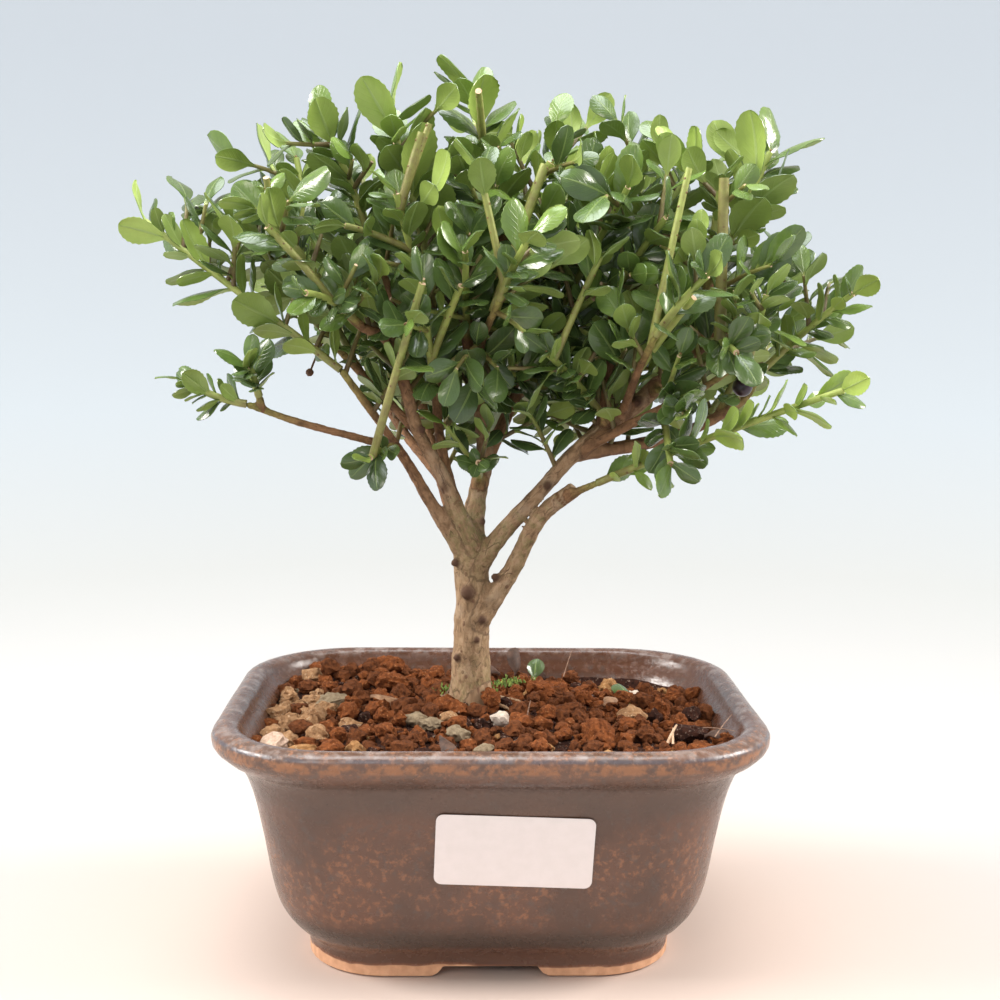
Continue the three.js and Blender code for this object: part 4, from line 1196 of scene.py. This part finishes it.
def build_wood():
    skin, stations = wood_skin()
    directions, faces = ball(2)
    for x, y, z, radius, stand in SCARS:
        skin.add(directions * (radius, stand + radius * 0.5, radius) + (x, y, z), faces)
    wood = put("wood_bark", skin.mesh("wood_bark"))
    remesh = wood.modifiers.new("skin", "REMESH")
    remesh.mode = "VOXEL"
    remesh.voxel_size = BARK_VOXEL * MM
    smooth = wood.modifiers.new("soften", "SMOOTH")
    smooth.iterations = 2
    settle_modifiers(wood)
    mesh = wood.data
    count = len(mesh.vertices)
    points, normals = np.zeros(count * 3), np.zeros(count * 3)
    mesh.vertices.foreach_get("co", points)
    mesh.vertex_normals.foreach_get("vector", normals)
    points, normals = points.reshape(-1, 3) / MM, normals.reshape(-1, 3)
    tree, facts = wood_facts(stations)
    grain = np.zeros((count, 3))
    youth, scar, cut, algae = (np.zeros(count) for _ in range(4))
    marks = np.array(SCARS)
    for i, point in enumerate(points):
        place, ahead, radius, young, run, end = facts[tree.find(point)[1]]
        offset = point - place
        step = offset @ ahead
        flat = offset - ahead * step
        grain[i] = (flat[0] + flat[1] * 0.35, flat[1] - flat[0] * 0.35, run + step)
        youth[i] = young
        ring = (np.linalg.norm(marks[:, :3] - point, axis=1) / marks[:, 3]).min()
        scar[i] = np.clip((1.35 - ring) * 1.6, 0, 1)
        cut[i] = end * (step > -0.2)
        damp = math.exp(-max(point[2] - 66, 0) / 9) + math.exp(-((point[2] - 118) / 14) ** 2) * 0.7
        algae[i] = np.clip(damp * (0.75 + 0.4 * normals[i][0]), 0, 1) * (radius > 2.4)
        depth = 0.022 * radius + 0.03
        at = Vector(grain[i]) * (1 / 1.9)
        at.z *= 0.55
        relief = 1 - abs(noise.noise(at)) * 2.4 + 0.4 * noise.noise(at * 2.7)
        wobble = noise.noise(Vector(point) * 0.16) * 0.08 * radius
        points[i] = point + normals[i] * (relief * depth - depth * 0.5 + wobble)
    mesh.vertices.foreach_set("co", (points * MM).ravel())
    add_values(mesh, "grain", (grain * MM).ravel(), "FLOAT_VECTOR")
    for name, values in (("youth", youth), ("scar", scar), ("cut", cut), ("algae", algae)):
        add_values(mesh, name, values)
    mesh.shade_smooth()
    mesh.materials.append(bark_finish())
    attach(wood, "root")
    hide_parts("wood")


# Foliage

TOP, UNDER, STEM, CUT, BUD = range(5)
ACROSS_FINE = np.array([-1, -0.62, -0.12, 0, 0.12, 0.62, 1])
ACROSS_PLAIN = np.array([-1, -0.5, 0, 0.5, 1])
ROWS_FINE = 19
ROWS_PLAIN = 10
BLADE_THICK = 0.30
EDGE_THINNER = 0.12
RIB_THICKER = 0.16
LEAST_HALF = 0.34
# Shoots that end in a pruning cut, and how young the leaves are on some shoots and elsewhere
CUT_SHOOTS = (12, 21)
YOUNG = {26: 0.55, 0: 0.4, 24: 0.4, 25: 0.35, 22: 0.3, 9: 0.35, 11: 0.35}
YOUNG_ELSEWHERE = 0.25

# Stems that show in front of the crown: where one comes out of the leaves, its tip, its radius,
# how green it is and how many leaves it bears. The places are where the photograph shows them
# if they stood at that depth; each stem then takes the depth where the fewest leaves hide it.
FRONT_STEMS = [
    ((4, -30, 196), (12.4, -30, 215.5), 1.35, 0.52, 0),
    ((54.5, -30, 187), (58.7, -30, 212.7), 1.5, 0.38, 0),
    ((42, -30, 193), (49.6, -30, 215), 0.95, 0.58, 0),
    ((16, -30, 178), (27, -30, 192), 0.9, 0.52, 4),
    ((39, -30, 165.5), (51.7, -30, 182), 0.95, 0.58, 4),
    ((-7, -30, 168), (-9, -30, 184.5), 1.0, 0.58, 4),
    ((-18.5, -30, 146), (-19, -30, 185), 1.05, 0.48, 5),
    ((-0.5, -30, 196), (-4.5, -30, 213.7), 0.95, 0.52, 4),
    ((-45, -30, 182), (-59, -30, 199), 0.95, 0.52, 4),
    ((-32.5, -30, 190), (-39, -30, 199.5), 0.9, 0.48, 3),
    ((-4, -22, 226), (-4.8, -22, 235), 1.0, 0.52, 0),
    ((-18.5, -24, 213), (-19.5, -24, 224), 1.1, 0.44, 0),
    ((-18, -26, 217), (-17.3, -26, 226), 0.9, 0.44, 0),
    ((-57, -24, 204), (-59.9, -24, 212), 0.9, 0.4, 0),
]
FRONT_DEPTHS = (-26, -30, -34, -38, -42, -22, -18)
FRONT_OWNER = 1000
STEM_VIEW = 45
STEM_ROOM = 2.6


def foliage_finishes():
    tops = [
        (0.0, (0.038, 0.064, 0.023)), (0.4, (0.074, 0.126, 0.032)),
        (0.7, (0.16, 0.25, 0.045)), (1.0, (0.31, 0.43, 0.066)),
    ]
    unders = [
        (0.0, (0.175, 0.235, 0.062)), (0.4, (0.265, 0.36, 0.08)),
        (0.7, (0.345, 0.465, 0.094)), (1.0, (0.44, 0.57, 0.12)),
    ]
    top = leaf_finish("leaf_top", tops, (0.17, 0.24, 0.07), 0.04, 0.22)
    under = leaf_finish("leaf_under", unders, (0.34, 0.44, 0.15), 0.07, 0.45)
    dark, light = (0.35, (0.12, 0.05, 0.022)), (0.65, (0.27, 0.19, 0.06))
    bud = plain_finish("bud", 0.55, (0.8, 3), dark, light)
    return [top, under, stem_finish(), cut_finish(), bud]


def add_leaf(skin, leaf, tone, rng, fine=True):
    """A thin closed blade over the leaf's own middle surface, toothed towards its tip."""
    rows, across = (ROWS_FINE, ACROSS_FINE) if fine else (ROWS_PLAIN, ACROSS_PLAIN)
    s = 1 - (1 - np.linspace(0, 0.993, rows)) ** 1.3
    half = leaf.width / 2 * np.array([outline(value) for value in s])
    half = np.maximum(half, np.where(s < 0.5, LEAST_HALF, 0.0))
    half = half[:, None] * np.ones(len(across))
    if fine:
        notched = (np.arange(rows) % 2 == 1) & (s > 0.38) & (s < 0.97)
        half[notched, 0] *= 0.93
        half[notched, -1] *= 0.93
    s = s[:, None]
    lift = leaf.arch * leaf.length * s * (1 - 1.6 * s) + 0.25
    edge = across * half
    wave = 0.02 * leaf.length * np.sin(s * 9 + rng.uniform(0, 6.28)) * across
    groove = np.where(across == 0, -0.10, 0.0) * np.ones_like(s)
    level = lift - leaf.cup * half * across**2 + wave + groove
    stretch = leaf.length * s * np.ones(len(across))
    top = (
        leaf.base + stretch[:, :, None] * leaf.axis + edge[:, :, None] * leaf.side
        + level[:, :, None] * leaf.face
    )
    thick = BLADE_THICK - EDGE_THINNER * np.abs(across) + np.where(across == 0, RIB_THICKER, 0.0)
    thick = thick + 0.35 * np.clip(1 - s / 0.14, 0, 1)
    bottom = top - thick[:, :, None] * leaf.face
    columns = len(across)
    size = rows * columns
    upper = bands(rows, columns, False)
    lower = [tuple(i + size for i in face[::-1]) for face in upper]
    border = [row * columns for row in range(rows)]
    border += [(rows - 1) * columns + column for column in range(1, columns)]
    border += [row * columns + columns - 1 for row in range(rows - 2, -1, -1)]
    border += list(range(columns - 2, 0, -1))
    strip = [(a + size, b + size, b, a) for a, b in zip(border, border[1:] + border[:1])]
    uv = np.stack(np.broadcast_arrays((across + 1) / 2, s), axis=2).reshape(-1, 2)
    slots = [TOP] * len(upper) + [UNDER] * len(lower) + [TOP] * len(strip)
    points = np.concatenate([top.reshape(-1, 3), bottom.reshape(-1, 3)])
    tone = float(np.clip(tone, 0, 1))
    skin.add(points, upper + lower + strip, slots, np.concatenate([uv, uv]), tone)


def add_stem(skin, stem, start, end, thick, thin, tones):
    """A green stem between two shares of a curve, ending in a flat pruning cut."""
    sides, rings = 8, 11
    shares = np.linspace(0, 1, rings)
    path = [stem.point(start + (end - start) * share) for share in shares]
    points, faces = tube(path, thick + (thin - thick) * shares, sides)
    tone = np.repeat(tones[0] + (tones[1] - tones[0]) * shares, sides)
    skin.add(points, faces, [STEM] * (len(faces) - 1) + [CUT], tone=tone)


def add_bud(skin, place, direction, size):
    directions, faces = ball(1)
    skin.add(place + directions * size + direction * size * 0.6, faces, BUD)


def build_foliage():
    """The leafy shoots. The leaves of all are placed before any is made, as in the solids."""
    rng = np.random.default_rng(21)
    finishes = foliage_finishes()
    crowd = Crowd()
    stems = [Stem(along(LIMBS[limb], share)[0], tip, bow) for limb, share, tip, _, _, bow in SHOOTS]
    woods = [wood_share(limb, share, stem) for (limb, share, *_), stem in zip(SHOOTS, stems)]
    for path in LIMBS.values():
        crowd.add_rods(limb_stations(path), WOOD)
    for i, (stem, wood) in enumerate(zip(stems, woods)):
        crowd.add_rods([(stem.point(0), SPUR_RADIUS), (stem.point(wood), SPUR_RADIUS)], WOOD)
        crowd.add_rods(green_stations(stem, wood), i)
    grown = []
    for i, (shoot, stem, wood) in enumerate(zip(SHOOTS, stems, woods)):
        first = wood + stem.share_of(FIRST_LEAF)
        grown.append(leaves_of(stem, first, shoot[3], shoot[4], random_from(101 + i), i, crowd))
    forks = {}
    for i, (stem, wood) in enumerate(zip(stems, woods)):
        if np.linalg.norm(stem.point(0.5) - HEART) < HEART_REACH:
            draws = random_from(701 + i)
            twig = twig_of(stem, wood, draws, i, crowd)
            if twig:
                forks[i] = twig
                crowd.add_rods([(twig.start, TWIG_RADIUS), (twig.tip, TWIG_RADIUS)], i)
                grown[i] += leaves_of(twig, TWIG_BARE, TWIG_LEAVES, TWIG_LEAF, draws, i, crowd)
    build_front_stems(stems, crowd, finishes)
    for i, (shoot, stem, wood, leaves) in enumerate(zip(SHOOTS, stems, woods, grown)):
        skin = Skin()
        thick, thin = (1.45, 1.25) if i in CUT_SHOOTS else (1.10, 0.85)
        add_stem(skin, stem, wood - stem.share_of(0.4), 1, thick, thin, (0.35, 0.75))
        if i in forks:
            add_stem(skin, forks[i], 0, 1, 0.75, 0.6, (0.35, 0.7))
        young = YOUNG.get(i, YOUNG_ELSEWHERE)
        for leaf, share in leaves:
            add_leaf(skin, leaf, young + 0.27 * share**1.5 + rng.normal() * 0.10, rng)
            add_bud(skin, leaf.base + leaf.axis * 0.9 + leaf.face * 0.5, leaf.axis, 0.42)
        for leaf in side_leaves(stem, wood, shoot, i, crowd, rng):
            add_leaf(skin, leaf, young + 0.1 + rng.normal() * 0.10, rng, fine=False)
        name = f"spray_{i + 1:02d}"
        add_piece(name + "_leaves", skin, finishes, [name])
    return crowd, finishes, list(zip(stems, woods))


def seen_at(place, depth):
    """The place on the camera's line of sight through a place, at another depth."""
    eye = np.array(CAMERA_PLACE)
    return eye + (place - eye) * (depth - eye[1]) / (place[1] - eye[1])


def covered(low, tip, crowd):
    """How much of a stem is hidden by the leaves in front, and more where it would cut one."""
    dots = np.array([low + (tip - low) * share for share in np.linspace(0, 1, 8)])
    blades = crowd.blade_dots()
    near = np.array([seen_at(blade, low[1]) for blade in blades[blades[:, 1] < low[1]]])
    hidden = 0
    if len(near):
        hidden = (np.linalg.norm(near[:, None] - dots, axis=2).min(1) < 3).sum()
    return hidden + (8 if crowd.blade_room(dots) < 1.4 else 0)


def build_front_stems(stems, crowd, finishes):
    """The stems that show in front, each grown from the nearest wood, its view kept free."""
    rng = np.random.default_rng(17)
    skin = Skin()
    places = [point for stem in stems for point in stem.points(0.05, 0.9, 30)]
    for path in LIMBS.values():
        places += [along(path, share)[0] for share in np.linspace(0.2, 1, 40)]
    places = np.array(places)
    for i, (low, tip, radius, tone, count) in enumerate(FRONT_STEMS):
        low, tip = np.array(low, float), np.array(tip, float)
        options = [(seen_at(low, depth), seen_at(tip, depth)) for depth in FRONT_DEPTHS]
        low, tip = min(options, key=lambda option: covered(*option, crowd))
        ahead = unit(tip - low)
        behind = (low - places) @ ahead
        beside = np.linalg.norm(low - places - behind[:, None] * ahead, axis=1)
        foot = places[(beside * 2 + np.where(behind > 2, behind, 60)).argmin()]
        stem = Stem(foot, tip, 0.6)
        add_stem(skin, stem, 0, 1, radius * 1.1, radius * 0.9, (tone - 0.15, tone))
        owner = len(SHOOTS) + FRONT_OWNER + i
        crowd.add_rods([(foot, radius), (tip, radius)], owner)
        bare = 1 - stem.share_of(np.linalg.norm(tip - low))
        view = unit(np.array(CAMERA_PLACE) - tip) * STEM_VIEW
        for point in stem.points(bare, 1, 4):
            crowd.add_rods([(point, STEM_ROOM), (point + view, STEM_ROOM)], owner)
        if count:
            first = bare + 0.3 * (1 - bare)
            draws = random_from(900 + i)
            for leaf, _ in leaves_of(stem, first, count, 11.5, draws, owner, crowd):
                add_leaf(skin, leaf, 0.35 + 0.1 * rng.normal(), rng)
        for t in np.arange(bare, 0.97, stem.share_of(4)):
            side = np.array([rng.choice([-1.0, 1.0]) * 0.8, -0.6, 0])
            add_bud(skin, stem.point(t) + side * radius * 0.7, ahead, 0.45)
    add_piece("front_stems", skin, finishes)


def any_look(rng):
    """A small leaf's roll, width, arch and cup."""
    roll, width = rng.uniform(-0.4, 0.4), rng.uniform(0.50, 0.62)
    return roll, width, rng.uniform(0.05, 0.25), rng.uniform(0.1, 0.4)


def side_leaves(stem, wood, shoot, owner, crowd, rng):
    """Smaller leaves between a shoot's own, where there is room."""
    leaves = []
    count = shoot[3] * 2
    for k in range(count):
        t = wood + (0.97 - wood) * (k + 0.5 + 0.5 * rng.random()) / count
        size = shoot[4] * rng.uniform(0.5, 0.85)
        look = any_look(rng)
        for _ in range(6):
            leaf = Leaf(stem, t, rng.uniform(0, 6.28), rng.uniform(0.5, 1.1), size, look)
            if crowd.take(leaf, owner):
                leaves.append(leaf)
                break
    return leaves


# Twigs inside the crown, which fill it as the real one is filled

TWIG_ENDS = np.array([97, 55, 238])
TWIG_CLEAR = 1.5
TWIG_OFF_LEAVES = 1.6
LOWEST_FOOT = 132


def crown_floor(x, y):
    """The height below which the crown is bare: lowest at the trunk, highest to the left front."""
    slope = 0.8 if x < TRUNK_X else 0.30
    return 135 + slope * abs(x - TRUNK_X) + (-0.8 * y if y < 0 else 0.25 * y)


def twig_fits(stem, start, crowd):
    """Whether a twig is inside the crown and clears the wood and leaves there, past its foot."""
    x, y, z = stem.tip
    outside = (np.array([abs(x), abs(y), z]) > TWIG_ENDS).any()
    if outside or start > 0.6 or z < crown_floor(x, y):
        return False
    dots = stem.points(start, 1, 6)
    if crowd.rod_room(dots, NOBODY) < TWIG_CLEAR:
        return False
    return bool(crowd.blade_room(dots) > TWIG_OFF_LEAVES)


def grow_twig(skin, stem, start, length, owner, crowd, rng):
    """A twig and the leaves along it, each turned until it is clear."""
    crowd.add_rods([(stem.point(start), 0.7), (stem.point(1), 0.5)], owner)
    add_stem(skin, stem, 0, 1, 0.75, 0.5, (0.0, rng.uniform(0.2, 0.6)))
    count = max(int(length / 2.6), 3)
    size = rng.uniform(10, 14.5)
    turn0 = rng.uniform(0, 2 * math.pi)
    height = (stem.tip[2] - 140) / 90
    tone0 = rng.uniform(0.05, 0.32) + 0.15 * min(max(height, 0), 1)
    for i in range(count):
        share = i / (count - 1)
        t = start + (LAST_LEAF - start) * share
        length = size * rng.uniform(0.75, 1.1)
        look = any_look(rng)
        for attempt in range(8):
            turn = turn0 + i * GOLDEN_TURN + attempt * 0.75
            leaf = Leaf(stem, t, turn, 1.0 - 0.55 * share + rng.uniform(-0.1, 0.1), length, look)
            if crowd.take(leaf, owner):
                add_leaf(skin, leaf, tone0 + 0.2 * share + rng.normal() * 0.07, rng, fine=False)
                break


def try_twig(point, ahead, radius, rng, reach, crowd, skins, owner):
    """One twig from a place on a limb or stem, in the first of a few directions that is free."""
    for _ in range(14):
        out = rng.normal(size=3)
        out = unit(out - ahead * (out @ ahead))
        length = rng.uniform(*reach)
        way = unit(ahead * rng.uniform(0.2, 0.8) + out + UP * 0.25)
        twig = Stem(point, point + way * length, rng.uniform(-0.5, 1.5))
        start = twig.share_of(radius + 2.2)
        if twig_fits(twig, start, crowd):
            grow_twig(skins[owner % len(skins)], twig, start, length, owner, crowd, rng)
            return 1
    return 0


def build_twigs(crowd, finishes, shoots):
    rng = np.random.default_rng(33)
    skins = [Skin(), Skin(), Skin()]
    owner = len(SHOOTS)
    for name, path in LIMBS.items():
        if name in ("trunk", "lowRight"):
            continue
        count = int(path_length(path) / 3.6)
        for k in range(count):
            share = (k + rng.random()) / count
            point, radius = along(path, share)
            ahead = unit(along(path, share + 0.02)[0] - along(path, share - 0.02)[0])
            if point[2] > LOWEST_FOOT:
                owner += try_twig(point, ahead, radius, rng, (9, 26), crowd, skins, owner)
    for stem, wood in shoots:
        count = int(np.linalg.norm(stem.tip - stem.start) / 5)
        for k in range(count):
            t = wood + (0.9 - wood) * (k + rng.random()) / count
            point, ahead = stem.point(t), stem.ahead(t)
            owner += try_twig(point, ahead, 0.7, rng, (8, 18), crowd, skins, owner)
    for i, skin in enumerate(skins):
        add_piece(f"inner_twigs_{i + 1}", skin, finishes)


# Litter on the soil

# Leaves that lie or stand there: x, y, rise, heading, tilt, length, width share, roll and kind
FALLEN = [
    (9, 45, 0.5, 80, 62, 9.5, 0.60, 0.7, "dead"),
    (4, 43, 0.8, 150, 25, 7, 0.55, -0.4, "dead"),
    (-35, 6, 1.8, -20, -4, 11, 0.42, 0.2, "tan"),
    (-14, -33, 1.6, -70, -6, 11, 0.36, 0.3, "dead"),
    (15, 41, 0.0, 80, 58, 7.5, 0.78, 0.0, "green"),
    (42, 11, -0.8, 112, 38, 8.5, 0.85, 0.25, "green"),
    (33, -2, 1.6, 60, 8, 8, 0.5, 0.2, "tan"),
    (58, -28, 1.8, 20, 10, 7, 0.5, 0.5, "dead"),
]
# Tufts of moss: x, y, spread and number of blades
MOSS = [(9, 27, 2.2, 70), (4, 22, 1.6, 40), (-13, 9, 1.4, 50), (-1, 7, 1.4, 50)]
# Slivers and root hairs as two ends and a radius
SLIVERS = [((46, -41, 66), (48.5, -39.5, 70.5), 0.5), ((47.2, -42, 66), (47.6, -39, 69.5), 0.35)]
HAIRS = [
    ((-14, -4, 64.5), (-11.3, -2, 71.5), 0.20), ((-13.5, -1, 64.5), (-10.8, -3, 69), 0.16),
    ((-16, 0, 65), (-11, 1, 70), 0.14), ((24, 38, 64), (27, 44, 71), 0.20),
    ((-9, -12, 66), (-6.5, -5.5, 67.5), 0.25), ((10, -18, 66.5), (11, -17, 71), 0.22),
    ((60, -32, 65), (66, -24, 69), 0.18), ((57, -30, 67), (66, -30, 66), 0.16),
]


def on_soil(x, y, rise):
    return np.array([x, y, float(soil_height(x, y)) + rise])


def build_litter(foliage):
    rng = np.random.default_rng(9)
    skins = {"dead": Skin(), "tan": Skin(), "green": Skin()}
    for x, y, rise, heading, tilt, length, width, roll, kind in FALLEN:
        turn, lean = math.radians(heading), math.radians(tilt)
        level = math.cos(lean)
        ahead = np.array([math.cos(turn) * level, math.sin(turn) * level, math.sin(lean)])
        base = on_soil(x, y, rise)
        look = (roll, width, 0.25, 0.7 if kind == "dead" else 0.35)
        leaf = Leaf(Stem(base, base + ahead * length, 0), 0, math.pi, 0, length, look)
        add_leaf(skins[kind], leaf, 0.3, rng)
    dead = dead_leaf_finish("dead_leaf", (0.03, 0.014, 0.009), (0.105, 0.052, 0.032))
    dead_under = dead_leaf_finish("dead_leaf_under", (0.055, 0.027, 0.017), (0.16, 0.085, 0.055))
    dry = dead_leaf_finish("dry_leaf", (0.14, 0.065, 0.03), (0.34, 0.19, 0.1))
    add_piece("dead_leaves", skins["dead"], [dead, dead_under])
    add_piece("dry_leaves", skins["tan"], [dry, dry])
    add_piece("fallen_leaves", skins["green"], foliage)
    bits = Skin()
    for slot, rows in enumerate((SLIVERS, HAIRS)):
        for start, end, radius in rows:
            points = Stem(start, end, 0.3).points(0, 1, 6)
            bits.add(*tube(points, np.linspace(radius, radius * 0.5, 6), 6), slot)
    sliver = cut_finish()
    hair = fruit_finish("root_hair", (0.16, 0.085, 0.055), (0.34, 0.22, 0.15), 0.8)
    add_piece("slivers_and_root_hairs", bits, [sliver, hair])
    moss = Skin()
    for x, y, spread, count in MOSS:
        for _ in range(count):
            px, py = rng.normal((x, y), spread)
            if math.hypot(px - TRUNK_X, py) < 6:
                continue
            base = on_soil(px, py, rng.uniform(0.2, 1.6))
            tip = base + rng.normal(0, 0.35, 3) + UP * rng.uniform(0.7, 1.5)
            moss.add(*tube([base, base + (tip - base) * 0.6, tip], [0.22, 0.26, 0.03], 4))
    green = fruit_finish("moss", (0.06, 0.1, 0.018), (0.26, 0.37, 0.07), 0.9)
    add_piece("moss", moss, [green])


# Fruit

# The limb that bears each, where along it, the fruit's middle, its radius and its wrinkles
FRUIT = {
    "berry": ("rightThin", 0.93, (67, -20, 158.6), 2.7, 0.02),
    "dried_berry": ("leftBare", 0.93, (-51, -5, 161), 1.1, 0.10),
}


def build_fruit():
    stalk_finish = fruit_finish("stalk", (0.1, 0.045, 0.02), (0.22, 0.11, 0.045), 0.7)
    skins = {
        "berry": fruit_finish("ripe_fruit", (0.01, 0.005, 0.011), (0.035, 0.012, 0.028), 0.28),
        "dried_berry": fruit_finish("dried_fruit", (0.05, 0.022, 0.012), (0.16, 0.07, 0.035), 0.8),
    }
    for name, (limb, share, middle, radius, wrinkle) in FRUIT.items():
        skin = Skin()
        foot, thick = along(LIMBS[limb], share)
        down = unit(np.array(middle, float) - foot)
        stalk = Stem(foot + down * (thick - 0.2), middle - down * radius * 0.85, 0.4)
        skin.add(*tube(stalk.points(0, 1, 8), np.linspace(0.34, 0.28, 8), 8), slot=1)
        directions, faces = ball(4)
        dent = 1 - 0.05 * np.exp(-((directions @ down - 1) ** 2) / 0.02)
        rough = [noise.noise(Vector(d) * 2.2) * wrinkle for d in directions]
        skin.add(middle + directions * (radius * (dent + rough))[:, None], faces)
        knob, knob_faces = ball(2)
        for end, size in ((down, 0.16), (-down, 0.24)):
            skin.add(middle + end * radius * 0.97 + knob * size * radius, knob_faces, 1)
        add_piece(name + "_fruit", skin, [skins[name], stalk_finish], [name])


# Stage, light and camera


def build_camera():
    camera = put("camera", bpy.data.cameras.new("camera"))
    camera.data.lens = CAMERA_LENS
    camera.data.clip_start = 0.01
    turn = (
        Matrix.Rotation(-CAMERA_HEADING, 4, "Z")
        @ Matrix.Rotation(math.pi / 2 - CAMERA_DOWN, 4, "X")
        @ Matrix.Rotation(CAMERA_ROLL, 4, "Z")
    )
    camera.matrix_world = Matrix.Translation(Vector(CAMERA_PLACE) * MM) @ turn
    bpy.context.scene.camera = camera


# The floor in metres: the radius of its level part, and that of the bend that follows
FLOOR_FLAT = 0.45
FLOOR_BEND = 1.2
BEND_ANGLE = math.radians(72)
BEND_STEPS = 24
FLOOR_SIDES = 96
# Floor colours by distance from the middle, with painted light: lighter and warmer round the pot,
# partly a pale turntable and partly a painted pool of light against the pot's shadow, then greyer
# and bluer up the wall, standing in for how the light falls across the backdrop.
FLOOR_COLORS_AND_PAINTED_LIGHT = [
    (0.05, (0.57, 0.465, 0.41)), (0.12, (0.385, 0.375, 0.37)), (0.36, (0.335, 0.345, 0.345)),
    (0.56, (0.325, 0.36, 0.39)), (0.87, (0.295, 0.33, 0.37)),
]
# Soft lamps: name, place, size in metres, watts and colour
LAMPS = [
    ("overhead", (-0.05, -0.05, 1.0), 0.8, 12.2, (0.92, 0.97, 1.0)),
    ("front_fill", (-0.75, -2.1, 1.1), 1.3, 28, (1.0, 0.91, 0.84)),
    ("left_side", (-1.9, -0.1, 1.2), 1.1, 84, (1.0, 0.96, 0.92)),
    ("right_side", (1.9, 0.0, 1.2), 1.1, 86, (1.0, 0.95, 0.90)),
]
LAMP_AIM = Vector((0, 0, 0.15))
SKY_COLOR = (1.0, 0.94, 0.88, 1)
SKY_STRENGTH = 0.76


def build_stage():
    """A pale floor that curves up into a low wall all round."""
    profile = [(0.25, 0), (FLOOR_FLAT, 0)]
    for step in range(1, BEND_STEPS + 1):
        angle = step / BEND_STEPS * BEND_ANGLE
        height = FLOOR_BEND * (1 - math.cos(angle))
        profile.append((FLOOR_FLAT + FLOOR_BEND * math.sin(angle), height))
    shape = bmesh.new()
    turns = [i / FLOOR_SIDES * 2 * math.pi for i in range(FLOOR_SIDES)]
    rings = [
        [shape.verts.new((radius * math.cos(a), radius * math.sin(a), height)) for a in turns]
        for radius, height in profile
    ]
    shape.faces.new(rings[0])
    for low, high in zip(rings, rings[1:]):
        for i in range(FLOOR_SIDES):
            j = (i + 1) % FLOOR_SIDES
            shape.faces.new((low[i], high[i], high[j], low[j]))
    mesh = bpy.data.meshes.new("floor")
    shape.to_mesh(mesh)
    shape.free()
    mesh.shade_smooth()
    f = Finish("pale_floor", Roughness=0.8, Specular_IOR_Level=0.2)
    level = f.stretched(f.place, 1, 1, 0)
    away = f.node("VectorMath", {0: level}, operation="LENGTH").outputs["Value"]
    # Painted light: the colour grades with distance, lighter and warmer near the pot
    f.color(f.ramp(f.maths("DIVIDE", away, FLOOR_FLAT + FLOOR_BEND), *FLOOR_COLORS_AND_PAINTED_LIGHT))
    mesh.materials.append(f.material)
    put("floor", mesh)


def build_light():
    world = bpy.data.worlds.new("sky")
    bpy.context.scene.world = world
    world.use_nodes = True
    background = world.node_tree.nodes["Background"]
    background.inputs["Color"].default_value = SKY_COLOR
    background.inputs["Strength"].default_value = SKY_STRENGTH
    for name, place, size, power, color in LAMPS:
        light = bpy.data.lights.new(name, "AREA")
        light.shape = "DISK"
        light.size = size
        light.energy = power
        light.color = color
        lamp = put(name, light)
        lamp.location = place
        lamp.rotation_euler = (LAMP_AIM - Vector(place)).to_track_quat("-Z", "Y").to_euler()
    view = bpy.context.scene.view_settings
    view.view_transform = "Standard"
    view.look = "None"


def dress_screens():
    """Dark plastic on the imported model's own drain screens."""
    dark, light = (0.3, (0.015, 0.017, 0.02)), (0.7, (0.03, 0.033, 0.038))
    screen = plain_finish("dark_mesh", 0.5, (1.5, 3), dark, light)
    for side in ("left", "right"):
        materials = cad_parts[f"drain_screen_{side}"].data.materials
        materials.clear()
        materials.append(screen)


build_camera()
build_stage()
build_light()
build_pot()
build_label()
grains = build_granules()
build_bed(grains)
build_wood()
crowd, foliage, shoots = build_foliage()
build_twigs(crowd, foliage, shoots)
build_litter(foliage)
build_fruit()
dress_screens()
